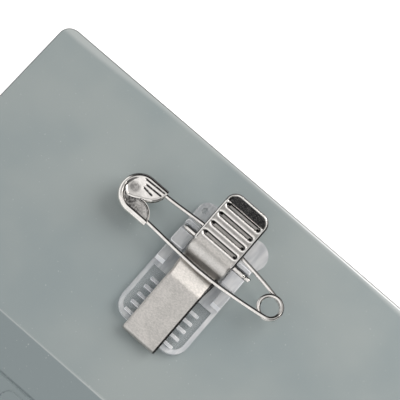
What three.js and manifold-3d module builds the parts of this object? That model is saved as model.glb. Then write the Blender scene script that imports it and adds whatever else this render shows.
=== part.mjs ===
// Name badge with a combined clip and safety pin on its back, lying on its front face.
// Units are millimetres. X runs along the long edge, Y towards the edge worn uppermost,
// and Z up out of the back. The origin is the middle of the front face.
import * as THREE from 'three';
import { mergeVertices } from 'three/addons/utils/BufferGeometryUtils.js';
import Module from 'manifold-3d';

const wasm = await Module();
wasm.setup();

// Holder: a clear front sheet under a grey back panel, with a card pocket between them
const holderLength = 94;
const holderHeight = 60;
const holderCornerRadius = 2.5;
const holderEdgeRound = 0.7;
const windowThickness = 0.9;
const windowEdgeRound = 0.35;
const panelThickness = 2.1;
const cardLength = 90;
const cardHeight = 54;
const cardPlay = 0.25;
const pocketDepth = 0.6;

// Raised band along the panel's lower edge, the slit in it and the thumb pad below the slit
const bandHeight = 13.1;
const bandRise = 0.25;
const slitFromEdge = 5.1;
const slitWidth = 0.35;
const slitDepth = 0.6;
const padLength = 23;
const padHeight = 4;
const padRise = 0.2;
const padCornerRadius = 1.5;

// Clip base: a clear moulding with a recessed lower plate, grip ribs, side rails and two cheeks
const baseWidth = 14.7;
const baseLowerEnd = -3.95;
const baseShoulder = 19;
const baseThickness = 1.4;
const baseCornerRadius = 3;
const baseEdgeRound = 0.3;
const rimWidth = 0.8;
const recessDepth = 0.4;
const recessEnd = 6.5;
const leftLobe = { radius: 2.2, inset: 2.2, y: 19.4 };
const rightLobe = { radius: 2.9, inset: 2, y: 19.1 };
const ribCount = 5;
const ribPitch = 1.745;
const ribWidth = 0.6;
const ribHalfLength = 5.4;
const ribRise = 0.9;
const ribFromEnd = 1.22;
const cheekWidth = 2.9;
const cheekLength = 5.05;
const cheekTop = 4.6;
const cheekBehindAxle = 1.4;
const cheekInset = 0.1;
const cheekCornerRadius = 0.5;
const railWidth = 1.8;
const railTop = 2.7;
const railLength = 3.9;
const railSlope = 0.6;

// Axle: the cross bar that the metal clip turns on, in open slots of the cheeks
const axleY = 14.6;
const axleHeight = 4.05;
const axleDiameter = 0.9;
const axlePlay = 0.2;
const axleProud = 0.7;
const axleRecess = 0.35;

// Metal clip: one bent sheet with the jaw strap, the bracket and the thumb plate
const sheet = 0.5;
const strapWidth = 7.24;
const bracketWidth = 7.9;
const mouthOverhang = 1.25;
const mouthHeight = 2.1;
const lipDrop = 0.9;
const lipLean = 0.2;
const lipBendRadius = 0.4;
const crestY = 6.25;
const crestHeight = 4.4;
const crestBendRadius = 2;
const valleyBeforeAxle = 3.6;
const valleyHeight = 3.35;
const valleyBendRadius = 0.5;
const shoulderBeforeAxle = 2.6;
const shoulderBendRadius = 2;
const plateWidth = 8.8;
const plateLength = 11.43;
const plateHeight = 6.85;
const plateTilt = 7;
const plateCornerRadius = 2;
const flangeDepth = 1.1;
const rimRise = 0.15;
const grooveCount = 4;
const groovePitch = 2.06;
const grooveFirst = 2.47;
const grooveLength = 7.5;
const grooveWidth = 0.9;
const grooveDepth = 0.35;
const grooveWall = 0.35;
const earInset = 0.55;
const earHalfLength = 1.35;
const earPlay = 0.3;

// Safety pin: one wire with a coil, and a folded sheet cap that holds both its ends
const wireDiameter = 0.8;
const wireSides = 8;
const wireStep = 0.9;
const coilX = 13.55;
const coilY = 13.35;
const coilRadius = 2.05;
const coilPitch = 0.99;
const backboneHeight = 3.85;
const armSlope = 7;
const backboneSlope = 11;
const armSag = 10.1;
const backboneBow = 17.15;
const pinPlay = 0.3;
const capEndX = -20.2;
const capLength = 8;
const capY = 13.55;
const capHeight = 7.7;
const capSheet = 0.3;
const capPlay = 0.25;
const capEdgeRound = 0.5;
const capGuard = { fromEnd: 5.1, below: 3.55, radius: 3.07 };
const capFlap = { fromEnd: 4, above: 3.05, radius: 3.5 };
const notchDepth = 3.2;
const armTipInset = 2.6;
const backboneEndInset = 3.4;

const arcSteps = 5;
const roundSides = 20;
const cutPast = 1;
const degree = Math.PI / 180;

const finishes = {
  greyPlastic: { color: 0x969e9e, roughness: 0.45, metalness: 0 },
  clearPlastic: { color: 0xe6e8ee, roughness: 0.15, metalness: 0, transparent: true, opacity: 0.35 },
  nickel: { color: 0xbebbb4, roughness: 0.28, metalness: 1 },
  brightNickel: { color: 0xd8d4cf, roughness: 0.15, metalness: 1 },
};

// A closed geometry as a solid for joining and cutting
function solid(geometry) {
  const bare = geometry.clone();
  bare.deleteAttribute('normal');
  bare.deleteAttribute('uv');
  const merged = mergeVertices(bare, 1e-5);
  return new wasm.Manifold(new wasm.Mesh({
    numProp: 3,
    vertProperties: new Float32Array(merged.attributes.position.array),
    triVerts: new Uint32Array(merged.index.array),
  }));
}

// A finished solid as a named mesh in its own material
function named(name, body, finish) {
  const { vertProperties, triVerts } = body.getMesh();
  const geometry = new THREE.BufferGeometry();
  geometry.setAttribute('position', new THREE.BufferAttribute(vertProperties, 3));
  geometry.setIndex(new THREE.BufferAttribute(triVerts, 1));
  geometry.computeVertexNormals();
  const mesh = new THREE.Mesh(geometry, new THREE.MeshStandardMaterial(finish));
  mesh.name = name;
  return mesh;
}

// Joins rings of equally many points into one closed skin with flat ends. Rings turn
// anticlockwise when seen from the end that the last one is at.
function loft(rings) {
  const count = rings[0].length;
  const positions = rings.flat().flatMap((p) => [p.x, p.y, p.z]);
  const index = [];
  for (let ring = 0; ring < rings.length - 1; ring += 1) {
    for (let i = 0; i < count; i += 1) {
      const a = ring * count + i;
      const b = ring * count + (i + 1) % count;
      index.push(a, b, b + count, a, b + count, a + count);
    }
  }
  const top = (rings.length - 1) * count;
  for (let i = 1; i < count - 1; i += 1) {
    index.push(0, i + 1, i, top, top + i, top + i + 1);
  }
  const geometry = new THREE.BufferGeometry();
  geometry.setAttribute('position', new THREE.Float32BufferAttribute(positions, 3));
  geometry.setIndex(index);
  return geometry;
}

// The outline of a rectangle with a radius at each corner, anticlockwise from the lower right
function roundedOutline(x0, x1, y0, y1, radii, inset = 0) {
  const [lowerRight, upperRight, upperLeft, lowerLeft] = radii.map((r) => Math.max(r - inset, 0));
  const corners = [
    { x: x1 - inset - lowerRight, y: y0 + inset + lowerRight, r: lowerRight, from: -90 },
    { x: x1 - inset - upperRight, y: y1 - inset - upperRight, r: upperRight, from: 0 },
    { x: x0 + inset + upperLeft, y: y1 - inset - upperLeft, r: upperLeft, from: 90 },
    { x: x0 + inset + lowerLeft, y: y0 + inset + lowerLeft, r: lowerLeft, from: 180 },
  ];
  return corners.flatMap(({ x, y, r, from }, corner) => {
    const steps = radii[corner] > 0 ? arcSteps : 0;
    return Array.from({ length: steps + 1 }, (_, i) => {
      const angle = (from + 90 * i / Math.max(steps, 1)) * degree;
      return new THREE.Vector2(x + r * Math.cos(angle), y + r * Math.sin(angle));
    });
  });
}

// A plate with rounded corners and rounded edges at its top, its bottom or both
function plate(x0, x1, y0, y1, z0, z1, radii, { topRound = 0, bottomRound = 0 } = {}) {
  const levels = [];
  const quarter = [0, 0.5, 1];
  if (bottomRound > 0) {
    quarter.forEach((t) => levels.push({
      z: z0 + bottomRound * (1 - Math.sin(t * Math.PI / 2)),
      inset: bottomRound * (1 - Math.cos(t * Math.PI / 2)),
    }));
    levels.reverse();
  } else {
    levels.push({ z: z0, inset: 0 });
  }
  if (topRound > 0) {
    quarter.forEach((t) => levels.push({
      z: z1 - topRound * (1 - Math.sin(t * Math.PI / 2)),
      inset: topRound * (1 - Math.cos(t * Math.PI / 2)),
    }));
  } else {
    levels.push({ z: z1, inset: 0 });
  }
  return solid(loft(levels.map(({ z, inset }) => roundedOutline(x0, x1, y0, y1, radii, inset)
    .map((p) => new THREE.Vector3(p.x, p.y, z)))));
}

function block(x0, x1, y0, y1, z0, z1) {
  const geometry = new THREE.BoxGeometry(x1 - x0, y1 - y0, z1 - z0);
  return solid(geometry.translate((x0 + x1) / 2, (y0 + y1) / 2, (z0 + z1) / 2));
}

// A round bar along X
function barAlongX(x0, x1, y, z, diameter) {
  const geometry = new THREE.CylinderGeometry(diameter / 2, diameter / 2, x1 - x0, roundSides);
  return solid(geometry.rotateZ(Math.PI / 2).translate((x0 + x1) / 2, y, z));
}

// A round boss along Z
function bossAlongZ(x, y, z0, z1, radius) {
  const geometry = new THREE.CylinderGeometry(radius, radius, z1 - z0, roundSides);
  return solid(geometry.rotateX(Math.PI / 2).translate(x, y, (z0 + z1) / 2));
}

// A side profile of { y, z } points, extruded along X
function profileAlongX(points, x0, x1) {
  const shape = new THREE.Shape(points.map(({ y, z }) => new THREE.Vector2(y, z)));
  const geometry = new THREE.ExtrudeGeometry(shape, { depth: x1 - x0, bevelEnabled: false });
  const turn = new THREE.Matrix4().makeBasis(
    new THREE.Vector3(0, 1, 0), new THREE.Vector3(0, 0, 1), new THREE.Vector3(1, 0, 0));
  return solid(geometry.applyMatrix4(turn).translate(x0, 0, 0));
}

const both = (body) => body.add(body.mirror([1, 0, 0]));

// Holder
const left = -holderLength / 2;
const right = holderLength / 2;
const lower = -holderHeight / 2;
const upper = holderHeight / 2;
const backZ = windowThickness + panelThickness;
const holderRadii = Array(4).fill(holderCornerRadius);

function frontWindow() {
  return plate(left, right, lower, upper, 0, windowThickness, holderRadii,
    { bottomRound: windowEdgeRound });
}

function backPanel() {
  const bandTop = lower + bandHeight;
  const pocketHalf = cardHeight / 2 + cardPlay;
  const panel = plate(left, right, lower, upper, windowThickness, backZ, holderRadii,
    { topRound: holderEdgeRound });
  const band = plate(left, right, lower, upper, windowThickness, backZ + bandRise, holderRadii,
    { topRound: holderEdgeRound })
    .subtract(block(left - cutPast, right + cutPast, bandTop, upper + cutPast,
      windowThickness - cutPast, backZ + bandRise + cutPast));
  const pocket = block(-cardLength / 2 - cardPlay, right + cutPast, -pocketHalf, pocketHalf,
    windowThickness - cutPast, windowThickness + pocketDepth);
  const slitY = lower + slitFromEdge;
  const slit = block(left - cutPast, right + cutPast, slitY - slitWidth / 2, slitY + slitWidth / 2,
    backZ + bandRise - slitDepth, backZ + bandRise + cutPast);
  const padRadii = [0, padCornerRadius, padCornerRadius, 0];
  const pad = plate(-padLength / 2, padLength / 2, lower + holderEdgeRound, lower + padHeight,
    backZ - padRise, backZ + bandRise + padRise, padRadii, { topRound: padRise / 2 });
  return panel.add(band).subtract(pocket).subtract(slit).add(pad);
}

// Clip base, with its underside on the panel
const ribTop = baseThickness - recessDepth + ribRise;

function clipBase() {
  const half = baseWidth / 2;
  const body = plate(-half, half, baseLowerEnd, baseShoulder, 0, baseThickness,
    [baseCornerRadius, 0, 0, baseCornerRadius], { topRound: baseEdgeRound });
  const lobes = [
    bossAlongZ(leftLobe.inset - half, leftLobe.y, 0, baseThickness, leftLobe.radius),
    bossAlongZ(half - rightLobe.inset, rightLobe.y, 0, baseThickness, rightLobe.radius),
  ];
  const recess = plate(rimWidth - half, half - rimWidth, baseLowerEnd + rimWidth, recessEnd,
    baseThickness - recessDepth, baseThickness + cutPast,
    [baseCornerRadius - rimWidth, 0, 0, baseCornerRadius - rimWidth]);
  let base = lobes.reduce((sum, lobe) => sum.add(lobe), body).subtract(recess);
  for (let i = 0; i < ribCount; i += 1) {
    const y = baseLowerEnd + ribFromEnd + i * ribPitch;
    base = base.add(plate(-ribHalfLength, ribHalfLength, y - ribWidth / 2, y + ribWidth / 2,
      baseThickness - recessDepth - recessDepth, ribTop, Array(4).fill(ribWidth / 3)));
  }
  const cheekOuter = half - cheekInset;
  const cheekEnd = axleY + cheekBehindAxle;
  const cheekStart = cheekEnd - cheekLength;
  const sunk = baseThickness / 2;
  const cheek = plate(cheekOuter - cheekWidth, cheekOuter, cheekStart, cheekEnd, sunk, cheekTop,
    Array(4).fill(cheekCornerRadius), { topRound: baseEdgeRound });
  const rail = profileAlongX([
    { y: cheekStart - railLength, z: sunk },
    { y: cheekStart + cheekInset, z: sunk },
    { y: cheekStart + cheekInset, z: railTop },
    { y: cheekStart - railLength + railSlope, z: railTop },
    { y: cheekStart - railLength, z: baseThickness },
  ], cheekOuter - railWidth, cheekOuter);
  const slotHalf = axleDiameter / 2 + axlePlay;
  const slot = block(-half - cutPast, half + cutPast, axleY - slotHalf, axleY + slotHalf,
    axleHeight - slotHalf, cheekTop + cutPast);
  return base.add(both(cheek.add(rail))).subtract(slot);
}

function axleBar() {
  const half = baseWidth / 2 - cheekInset;
  return barAlongX(axleRecess - half, half + axleProud, axleY, axleHeight, axleDiameter);
}

// Metal clip. A polyline of bends, each rounded by its own radius, gives the middle of the sheet.
function roundedPath(corners) {
  const path = [corners[0]];
  corners.slice(1, -1).forEach((corner, i) => {
    const before = corners[i];
    const after = corners[i + 2];
    const point = new THREE.Vector2(corner.y, corner.z);
    const inward = new THREE.Vector2(before.y, before.z).sub(point).normalize();
    const outward = new THREE.Vector2(after.y, after.z).sub(point).normalize();
    const opening = inward.angleTo(outward);
    const reach = corner.radius / Math.tan(opening / 2);
    const middle = inward.clone().add(outward).normalize();
    const centre = point.clone().addScaledVector(middle, corner.radius / Math.sin(opening / 2));
    const start = point.clone().addScaledVector(inward, reach).sub(centre);
    const turn = Math.PI - opening;
    const side = Math.sign(start.x * middle.y - start.y * middle.x);
    for (let step = 0; step <= arcSteps; step += 1) {
      const spoke = start.clone().rotateAround(new THREE.Vector2(), -side * turn * step / arcSteps);
      path.push({ y: centre.x + spoke.x, z: centre.y + spoke.y, half: corner.half });
    }
  });
  path.push(corners.at(-1));
  return path;
}

// A sheet of constant thickness that follows a path of { y, z, half } stations across X
function bentSheet(path) {
  const rings = path.map((station, i) => {
    const here = new THREE.Vector2(station.y, station.z);
    const ahead = path[Math.min(i + 1, path.length - 1)];
    const behind = path[Math.max(i - 1, 0)];
    const incoming = here.clone().sub(new THREE.Vector2(behind.y, behind.z)).normalize();
    const outgoing = new THREE.Vector2(ahead.y, ahead.z).sub(here).normalize();
    const tangent = incoming.add(outgoing).normalize();
    const up = new THREE.Vector2(-tangent.y, tangent.x).multiplyScalar(sheet / 2);
    return [
      new THREE.Vector3(-station.half, here.x + up.x, here.y + up.y),
      new THREE.Vector3(station.half, here.x + up.x, here.y + up.y),
      new THREE.Vector3(station.half, here.x - up.x, here.y - up.y),
      new THREE.Vector3(-station.half, here.x - up.x, here.y - up.y),
    ];
  });
  return solid(loft(rings));
}

const strapHalf = strapWidth / 2;
const bracketHalf = bracketWidth / 2;
const plateHalf = plateWidth / 2;
const mouthY = baseLowerEnd - mouthOverhang;
const valleyY = axleY - valleyBeforeAxle;
const shoulderY = axleY - shoulderBeforeAxle;
const tiltSlope = Math.tan(plateTilt * degree);
const plateStartY = shoulderY + shoulderBendRadius / 2;

function sheetPath() {
  const plateInside = plateHalf - sheet / 2;
  const cornerInside = plateCornerRadius - sheet / 2;
  const bends = roundedPath([
    { y: mouthY - lipLean, z: mouthHeight - lipDrop, half: strapHalf },
    { y: mouthY, z: mouthHeight, half: strapHalf, radius: lipBendRadius },
    { y: crestY, z: crestHeight, half: strapHalf, radius: crestBendRadius },
    { y: valleyY, z: valleyHeight, half: bracketHalf, radius: valleyBendRadius },
    { y: shoulderY, z: plateHeight, half: plateInside, radius: shoulderBendRadius },
    onPlate((plateLength - plateCornerRadius) / 2, plateInside),
  ]);
  const farCorner = Array.from({ length: arcSteps + 1 }, (_, i) => {
    const angle = 90 * i / arcSteps * degree;
    return onPlate(plateLength - plateCornerRadius + cornerInside * Math.sin(angle),
      plateHalf - plateCornerRadius + cornerInside * Math.cos(angle));
  });
  return [...bends, ...farCorner];
}

// A station of the sheet on the tilted thumb plate, at a distance from the plate's near end
function onPlate(distance, half) {
  const y = plateStartY + distance * Math.cos(plateTilt * degree);
  return { y, z: plateHeight + (y - shoulderY) * tiltSlope, half };
}

// What is made level with the plate's near end at Y 0 is tilted into its place on the plate
function tilted(body) {
  const start = onPlate(0, plateHalf);
  return body.rotate([plateTilt, 0, 0]).translate([0, start.y, start.z]);
}

// The pressed grooves of the thumb plate, widened by a wall: the press's shape or its outside
function grooves(wall, top) {
  const half = grooveLength / 2 + wall;
  const radii = Array(4).fill(grooveWidth / 2 + wall);
  const bodies = Array.from({ length: grooveCount }, (_, i) => {
    const y = grooveFirst + i * groovePitch;
    const reach = grooveWidth / 2 + wall;
    return plate(-half, half, y - reach, y + reach, sheet / 2 - grooveDepth - wall, top, radii);
  });
  return bodies.reduce((sum, body) => sum.add(body));
}

function plateRim() {
  const farRadii = [0, plateCornerRadius, plateCornerRadius, 0];
  const insideRadii = farRadii.map((r) => Math.max(r - sheet, 0));
  const rimTop = sheet / 2 + rimRise;
  const rimBottom = -sheet / 2 - flangeDepth;
  const outer = plate(-plateHalf, plateHalf, 0, plateLength, rimBottom, rimTop, farRadii);
  const inner = plate(sheet - plateHalf, plateHalf - sheet, -cutPast, plateLength - sheet,
    rimBottom - cutPast, rimTop + cutPast, insideRadii);
  return tilted(outer.subtract(inner));
}

function clipLever() {
  const earBottom = axleHeight - axleDiameter / 2 - earPlay - sheet;
  const earTop = plateHeight + (axleY - shoulderY) * tiltSlope;
  const earRadius = earHalfLength * 0.9;
  const ear = plate(earBottom, earTop, axleY - earHalfLength, axleY + earHalfLength,
    plateHalf - earInset - sheet, plateHalf - earInset, [0, 0, earRadius, earRadius])
    .rotate([0, -90, 0]);
  const bore = barAlongX(-plateHalf - cutPast, plateHalf + cutPast, axleY, axleHeight,
    axleDiameter + 2 * earPlay);
  const pressed = tilted(grooves(grooveWall, 0));
  const press = tilted(grooves(0, sheet));
  return bentSheet(sheetPath()).add(plateRim()).add(both(ear)).subtract(bore)
    .add(pressed).subtract(press);
}

// Safety pin. The arm crosses over the strap where the sheet slopes down to its valley.
function strapTopAt(y) {
  const share = (y - crestY) / (valleyY - crestY);
  return crestHeight + (valleyHeight - crestHeight) * share + sheet / 2;
}

const capMouthX = capEndX + capLength;
const capHalf = capHeight / 2;
const capInsideHalf = capHalf - capSheet - capPlay - wireDiameter / 2;

function pinWire() {
  const armCrossing = strapTopAt(armSag) + pinPlay + wireDiameter / 2;
  const startAngle = (armSlope - 90) * degree;
  const endAngle = (450 - backboneSlope) * degree;
  const coilTop = backboneHeight + coilPitch * (endAngle - startAngle) / (2 * Math.PI);
  const onCoil = (angle) => new THREE.Vector3(
    coilX + coilRadius * Math.cos(angle), coilY + coilRadius * Math.sin(angle),
    coilTop - coilPitch * (angle - startAngle) / (2 * Math.PI));
  const tip = new THREE.Vector3(capEndX + armTipInset, capY - capInsideHalf + capPlay, backboneHeight);
  const armMouth = new THREE.Vector3(capMouthX, capY - capInsideHalf + capPlay / 2, backboneHeight);
  const crossing = new THREE.Vector3(0, armSag, armCrossing);
  const armEnd = onCoil(startAngle);
  const lastRun = (armEnd.x - crossing.x) / 2;
  const armOut = new THREE.Vector3(armEnd.x - lastRun, armEnd.y - lastRun * Math.tan(armSlope * degree),
    (armCrossing + coilTop) / 2);
  const backEnd = new THREE.Vector3(capEndX + backboneEndInset, capY + capInsideHalf, backboneHeight);
  const backMouth = new THREE.Vector3(capMouthX, capY + capInsideHalf, backboneHeight);
  const backBow = new THREE.Vector3(0, backboneBow, backboneHeight);
  const backStart = onCoil(endAngle);
  const backRun = (backStart.x - backBow.x) / 3;
  const backOut = new THREE.Vector3(backStart.x - backRun,
    backStart.y + backRun * Math.tan(backboneSlope * degree), backboneHeight);
  const turns = 14;
  const coil = Array.from({ length: turns + 1 }, (_, i) => onCoil(
    startAngle + (endAngle - startAngle) * i / turns));
  const route = new THREE.CatmullRomCurve3(
    [tip, armMouth, crossing, armOut, ...coil, backOut, backBow, backMouth, backEnd],
    false, 'centripetal');
  const section = new THREE.Shape(Array.from({ length: wireSides }, (_, i) => new THREE.Vector2(
    wireDiameter / 2 * Math.cos(2 * Math.PI * i / wireSides),
    wireDiameter / 2 * Math.sin(2 * Math.PI * i / wireSides))));
  return solid(new THREE.ExtrudeGeometry(section, {
    steps: Math.round(route.getLength() / wireStep), extrudePath: route, bevelEnabled: false,
  }));
}

function pinCap() {
  const innerRise = wireDiameter / 2 + capPlay;
  const outerRise = innerRise + capSheet;
  const top = backboneHeight + outerRise;
  const bottom = backboneHeight - outerRise;
  const skin = plate(capEndX, capMouthX, capY - capHalf, capY + capHalf, bottom, top,
    [0, 0, capHalf, capHalf], { topRound: capEdgeRound, bottomRound: capEdgeRound });
  const inner = capHalf - capSheet;
  const hollow = plate(capEndX + capSheet, capMouthX + cutPast, capY - inner, capY + inner,
    backboneHeight - innerRise, backboneHeight + innerRise, [0, 0, inner, inner]);
  const low = bottom - cutPast;
  const high = top + cutPast;
  const guard = bossAlongZ(capEndX + capGuard.fromEnd, capY - capGuard.below, low - cutPast,
    high + cutPast, capGuard.radius);
  const flap = bossAlongZ(capEndX + capFlap.fromEnd, capY + capFlap.above, low - cutPast,
    high + cutPast, capFlap.radius);
  const notch = block(capMouthX - notchDepth, capMouthX + cutPast,
    capY - capHalf - cutPast, capY + capHalf + cutPast, low, high).subtract(guard).subtract(flap);
  return skin.subtract(hollow).subtract(notch);
}

const badge = new THREE.Group();
badge.add(named('front_window', frontWindow(), finishes.clearPlastic));
badge.add(named('back_panel', backPanel(), finishes.greyPlastic));

const onBack = new THREE.Group();
onBack.position.z = backZ;
onBack.add(named('clip_base', clipBase(), finishes.clearPlastic));
onBack.add(named('axle_bar', axleBar(), finishes.brightNickel));
onBack.add(named('clip_lever', clipLever(), finishes.nickel));
onBack.add(named('pin_wire', pinWire(), finishes.brightNickel));
onBack.add(named('pin_cap', pinCap(), finishes.brightNickel));
badge.add(onBack);

export default badge;
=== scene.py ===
"""Name badge lying on its front, with a clear clip base, a sprung metal clip and a safety pin.

The pieces are modelled in millimetres and taken to metres when they are finished. X runs along
the badge's long edge, Y towards the edge worn uppermost and Z up out of the back.
"""

import logging
import math
from contextlib import contextmanager
from dataclasses import dataclass, field
from enum import Enum
from typing import Callable, Iterator, Optional, Sequence, Union

import bmesh
import bpy
from mathutils import Matrix, Vector


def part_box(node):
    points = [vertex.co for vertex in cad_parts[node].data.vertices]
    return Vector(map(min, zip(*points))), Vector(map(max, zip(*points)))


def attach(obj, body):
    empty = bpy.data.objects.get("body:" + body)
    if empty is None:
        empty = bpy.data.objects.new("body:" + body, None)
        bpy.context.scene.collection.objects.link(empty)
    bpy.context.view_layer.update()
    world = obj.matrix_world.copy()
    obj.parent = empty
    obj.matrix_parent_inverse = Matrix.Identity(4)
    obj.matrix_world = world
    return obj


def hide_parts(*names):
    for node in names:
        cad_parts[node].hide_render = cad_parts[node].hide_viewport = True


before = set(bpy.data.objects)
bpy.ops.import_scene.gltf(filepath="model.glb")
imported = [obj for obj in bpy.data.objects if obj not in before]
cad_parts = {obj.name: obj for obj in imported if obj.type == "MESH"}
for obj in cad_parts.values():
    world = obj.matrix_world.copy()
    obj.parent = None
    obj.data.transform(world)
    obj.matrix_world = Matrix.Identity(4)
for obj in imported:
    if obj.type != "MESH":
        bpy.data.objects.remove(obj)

MM = 0.001
# In millimetres: nearer than this is the same place, is a rounding error, and past every piece.
HAIR = 1e-3
TINY = 1e-4
FAR = 1e3
BADGE = "badge"
CLIP = "clip"
log = logging.getLogger("name_badge")

Piece = bpy.types.Object
Edge = bmesh.types.BMEdge
Colour = tuple[float, float, float, float]
Point = Callable[[int, int], Vector]


def smoothstep(low: float, high: float, value: float) -> float:
    """Rises smoothly from 0 at low to 1 at high, which may lie on either side of low.

    Args:
        low: where the rise starts.
        high: where it ends.
        value: the place.

    Returns:
        The share risen there.
    """
    t = min(max((value - low) / (high - low), 0.0), 1.0)
    return t * t * (3 - 2 * t)


def to_segment(p: Vector, a: Vector, b: Vector) -> float:
    """How far a point in the plane lies from a segment.

    Args:
        p: the point.
        a: one end of the segment.
        b: its other end.

    Returns:
        The distance.
    """
    run = b - a
    t = min(max((p - a).dot(run) / run.length_squared, 0.0), 1.0)
    return (p - a - run * t).length


def hump(value: float, middle: float, width: float) -> float:
    """Gives 1 at the middle and falls off softly to both sides of it."""
    return math.exp(-((value - middle) / width) ** 2)


def upright(edge: Edge) -> bool:
    """Says whether an edge runs up and down."""
    return abs(edge.verts[0].co.z - edge.verts[1].co.z) > TINY


def level_at(edge: Edge, height: float) -> bool:
    """Says whether an edge lies at a height."""
    return all(abs(v.co.z - height) < TINY for v in edge.verts)


class Join(Enum):
    """What a modelled tool does to the piece that it meets."""

    ADD = "UNION"
    CUT = "DIFFERENCE"


class Bench:
    """Blender's modelling operators, used on one piece at a time, in millimetres."""

    @staticmethod
    def clear() -> None:
        """Leaves edit mode and selects nothing."""
        if bpy.context.mode != "OBJECT":
            bpy.ops.object.mode_set(mode="OBJECT")
        bpy.ops.object.select_all(action="DESELECT")

    @classmethod
    def take(cls, *pieces: Piece) -> None:
        """Selects these pieces alone, with the first one active.

        Args:
            pieces: what is worked on.
        """
        cls.clear()
        for piece in pieces:
            piece.select_set(True)
        bpy.context.view_layer.objects.active = pieces[0]

    @classmethod
    def _named(cls, name: str) -> Piece:
        """Names the piece that was just added and settles its place in its mesh.

        Args:
            name: the piece's name.

        Returns:
            The piece.
        """
        piece = bpy.context.active_object
        piece.name = piece.data.name = name
        bpy.ops.object.transform_apply(location=True, rotation=True, scale=True)
        return piece

    @classmethod
    def block(cls, name: str, low: Sequence[float], high: Sequence[float]) -> Piece:
        """Adds a cube primitive at its size and place.

        Args:
            name: the piece's name.
            low: its lowest corner.
            high: its highest corner.

        Returns:
            The block.
        """
        cls.clear()
        low, high = Vector(low), Vector(high)
        bpy.ops.mesh.primitive_cube_add(size=1, location=(low + high) / 2, scale=high - low)
        return cls._named(name)

    @classmethod
    def boss(cls, name: str, centre: Sequence[float], radius: float, top: float,
             sides: int = 64) -> Piece:
        """Adds an upright round boss.

        Args:
            name: the piece's name.
            centre: the middle of its foot.
            radius: its radius.
            top: the height of its top.
            sides: how many sides it has.

        Returns:
            The boss.
        """
        cls.clear()
        x, y, foot = centre
        bpy.ops.mesh.primitive_cylinder_add(vertices=sides, radius=radius, depth=top - foot,
                                            location=(x, y, (foot + top) / 2))
        return cls._named(name)

    @classmethod
    def bar(cls, name: str, start: Sequence[float], end_x: float, radius: float,
            sides: int = 40) -> Piece:
        """Adds a round bar that runs along X.

        Args:
            name: the piece's name.
            start: the middle of its left end.
            end_x: the place of its right end.
            radius: its radius.
            sides: how many sides it has.

        Returns:
            The bar.
        """
        cls.clear()
        x, y, z = start
        bpy.ops.mesh.primitive_cylinder_add(
            vertices=sides, radius=radius, depth=end_x - x, location=((x + end_x) / 2, y, z),
            rotation=(0, math.pi / 2, 0))
        return cls._named(name)

    @classmethod
    @contextmanager
    def editing(cls, piece: Piece) -> Iterator[None]:
        """Opens a piece in edit mode with nothing selected, and closes it again.

        Args:
            piece: the piece.
        """
        cls.take(piece)
        bpy.ops.object.mode_set(mode="EDIT")
        bpy.ops.mesh.select_all(action="DESELECT")
        yield
        bpy.ops.object.mode_set(mode="OBJECT")

    @staticmethod
    def pick_edges(piece: Piece, test: Callable[[Edge], bool]) -> None:
        """Selects the edges that pass a test, in edit mode.

        Args:
            piece: the piece in edit mode.
            test: says whether an edge is taken.
        """
        bpy.ops.mesh.select_mode(type="EDGE")
        mesh = bmesh.from_edit_mesh(piece.data)
        for edge in [e for e in mesh.edges if test(e)]:
            edge.select_set(True)
        bmesh.update_edit_mesh(piece.data)

    @staticmethod
    def pick_points(piece: Piece, test: Callable[[Vector], bool]) -> None:
        """Selects the vertices that pass a test, in edit mode.

        Args:
            piece: the piece in edit mode.
            test: says whether a place is taken.
        """
        bpy.ops.mesh.select_mode(type="VERT")
        mesh = bmesh.from_edit_mesh(piece.data)
        for vertex in [v for v in mesh.verts if test(v.co)]:
            vertex.select_set(True)
        mesh.select_flush(True)
        bmesh.update_edit_mesh(piece.data)

    @classmethod
    def bevel(cls, piece: Piece, test: Callable[[Edge], bool],
              width: float, segments: int) -> None:
        """Bevels the edges that pass a test.

        Args:
            piece: the piece.
            test: says whether an edge is bevelled.
            width: the bevel's width, which is its radius at a square corner.
            segments: how many faces it has.
        """
        with cls.editing(piece):
            cls.pick_edges(piece, test)
            bpy.ops.mesh.bevel(offset=width, segments=segments, profile=0.5, affect="EDGES",
                               clamp_overlap=True)

    @classmethod
    def slice(cls, piece: Piece, axis: Sequence[float], places: Sequence[float]) -> None:
        """Cuts new edge loops across a piece, square to an axis.

        Args:
            piece: the piece.
            axis: the direction that the loops are square to.
            places: where along it they are.
        """
        for place in places:
            with cls.editing(piece):
                bpy.ops.mesh.select_all(action="SELECT")
                bpy.ops.mesh.bisect(plane_co=Vector(axis) * place, plane_no=axis)

    @classmethod
    def shift(cls, piece: Piece, test: Callable[[Vector], bool],
              by: Sequence[float]) -> None:
        """Moves the vertices that pass a test.

        Args:
            piece: the piece.
            test: says whether a place moves.
            by: how far.
        """
        with cls.editing(piece):
            cls.pick_points(piece, test)
            bpy.ops.transform.translate(value=by)

    @classmethod
    def rounded(cls, name: str, low: Sequence[float], high: Sequence[float], corners: float,
                top: float = 0.0, bottom: float = 0.0, segments: int = 10,
                edge_segments: int = 5) -> Piece:
        """Adds a block and rounds its upright corners and its top or bottom edge.

        Args:
            name: the piece's name.
            low: its lowest corner.
            high: its highest corner.
            corners: the radius of its four upright corners.
            top: the radius of its top edge.
            bottom: the radius of its bottom edge.
            segments: faces on each upright corner.
            edge_segments: faces on a rounded top or bottom edge.

        Returns:
            The rounded block.
        """
        piece = cls.block(name, low, high)
        cls.bevel(piece, upright, corners, segments)
        for radius, height in ((top, high[2]), (bottom, low[2])):
            if radius > 0:
                cls.bevel(piece, lambda e, z=height: level_at(e, z), radius, edge_segments)
        return piece

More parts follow.
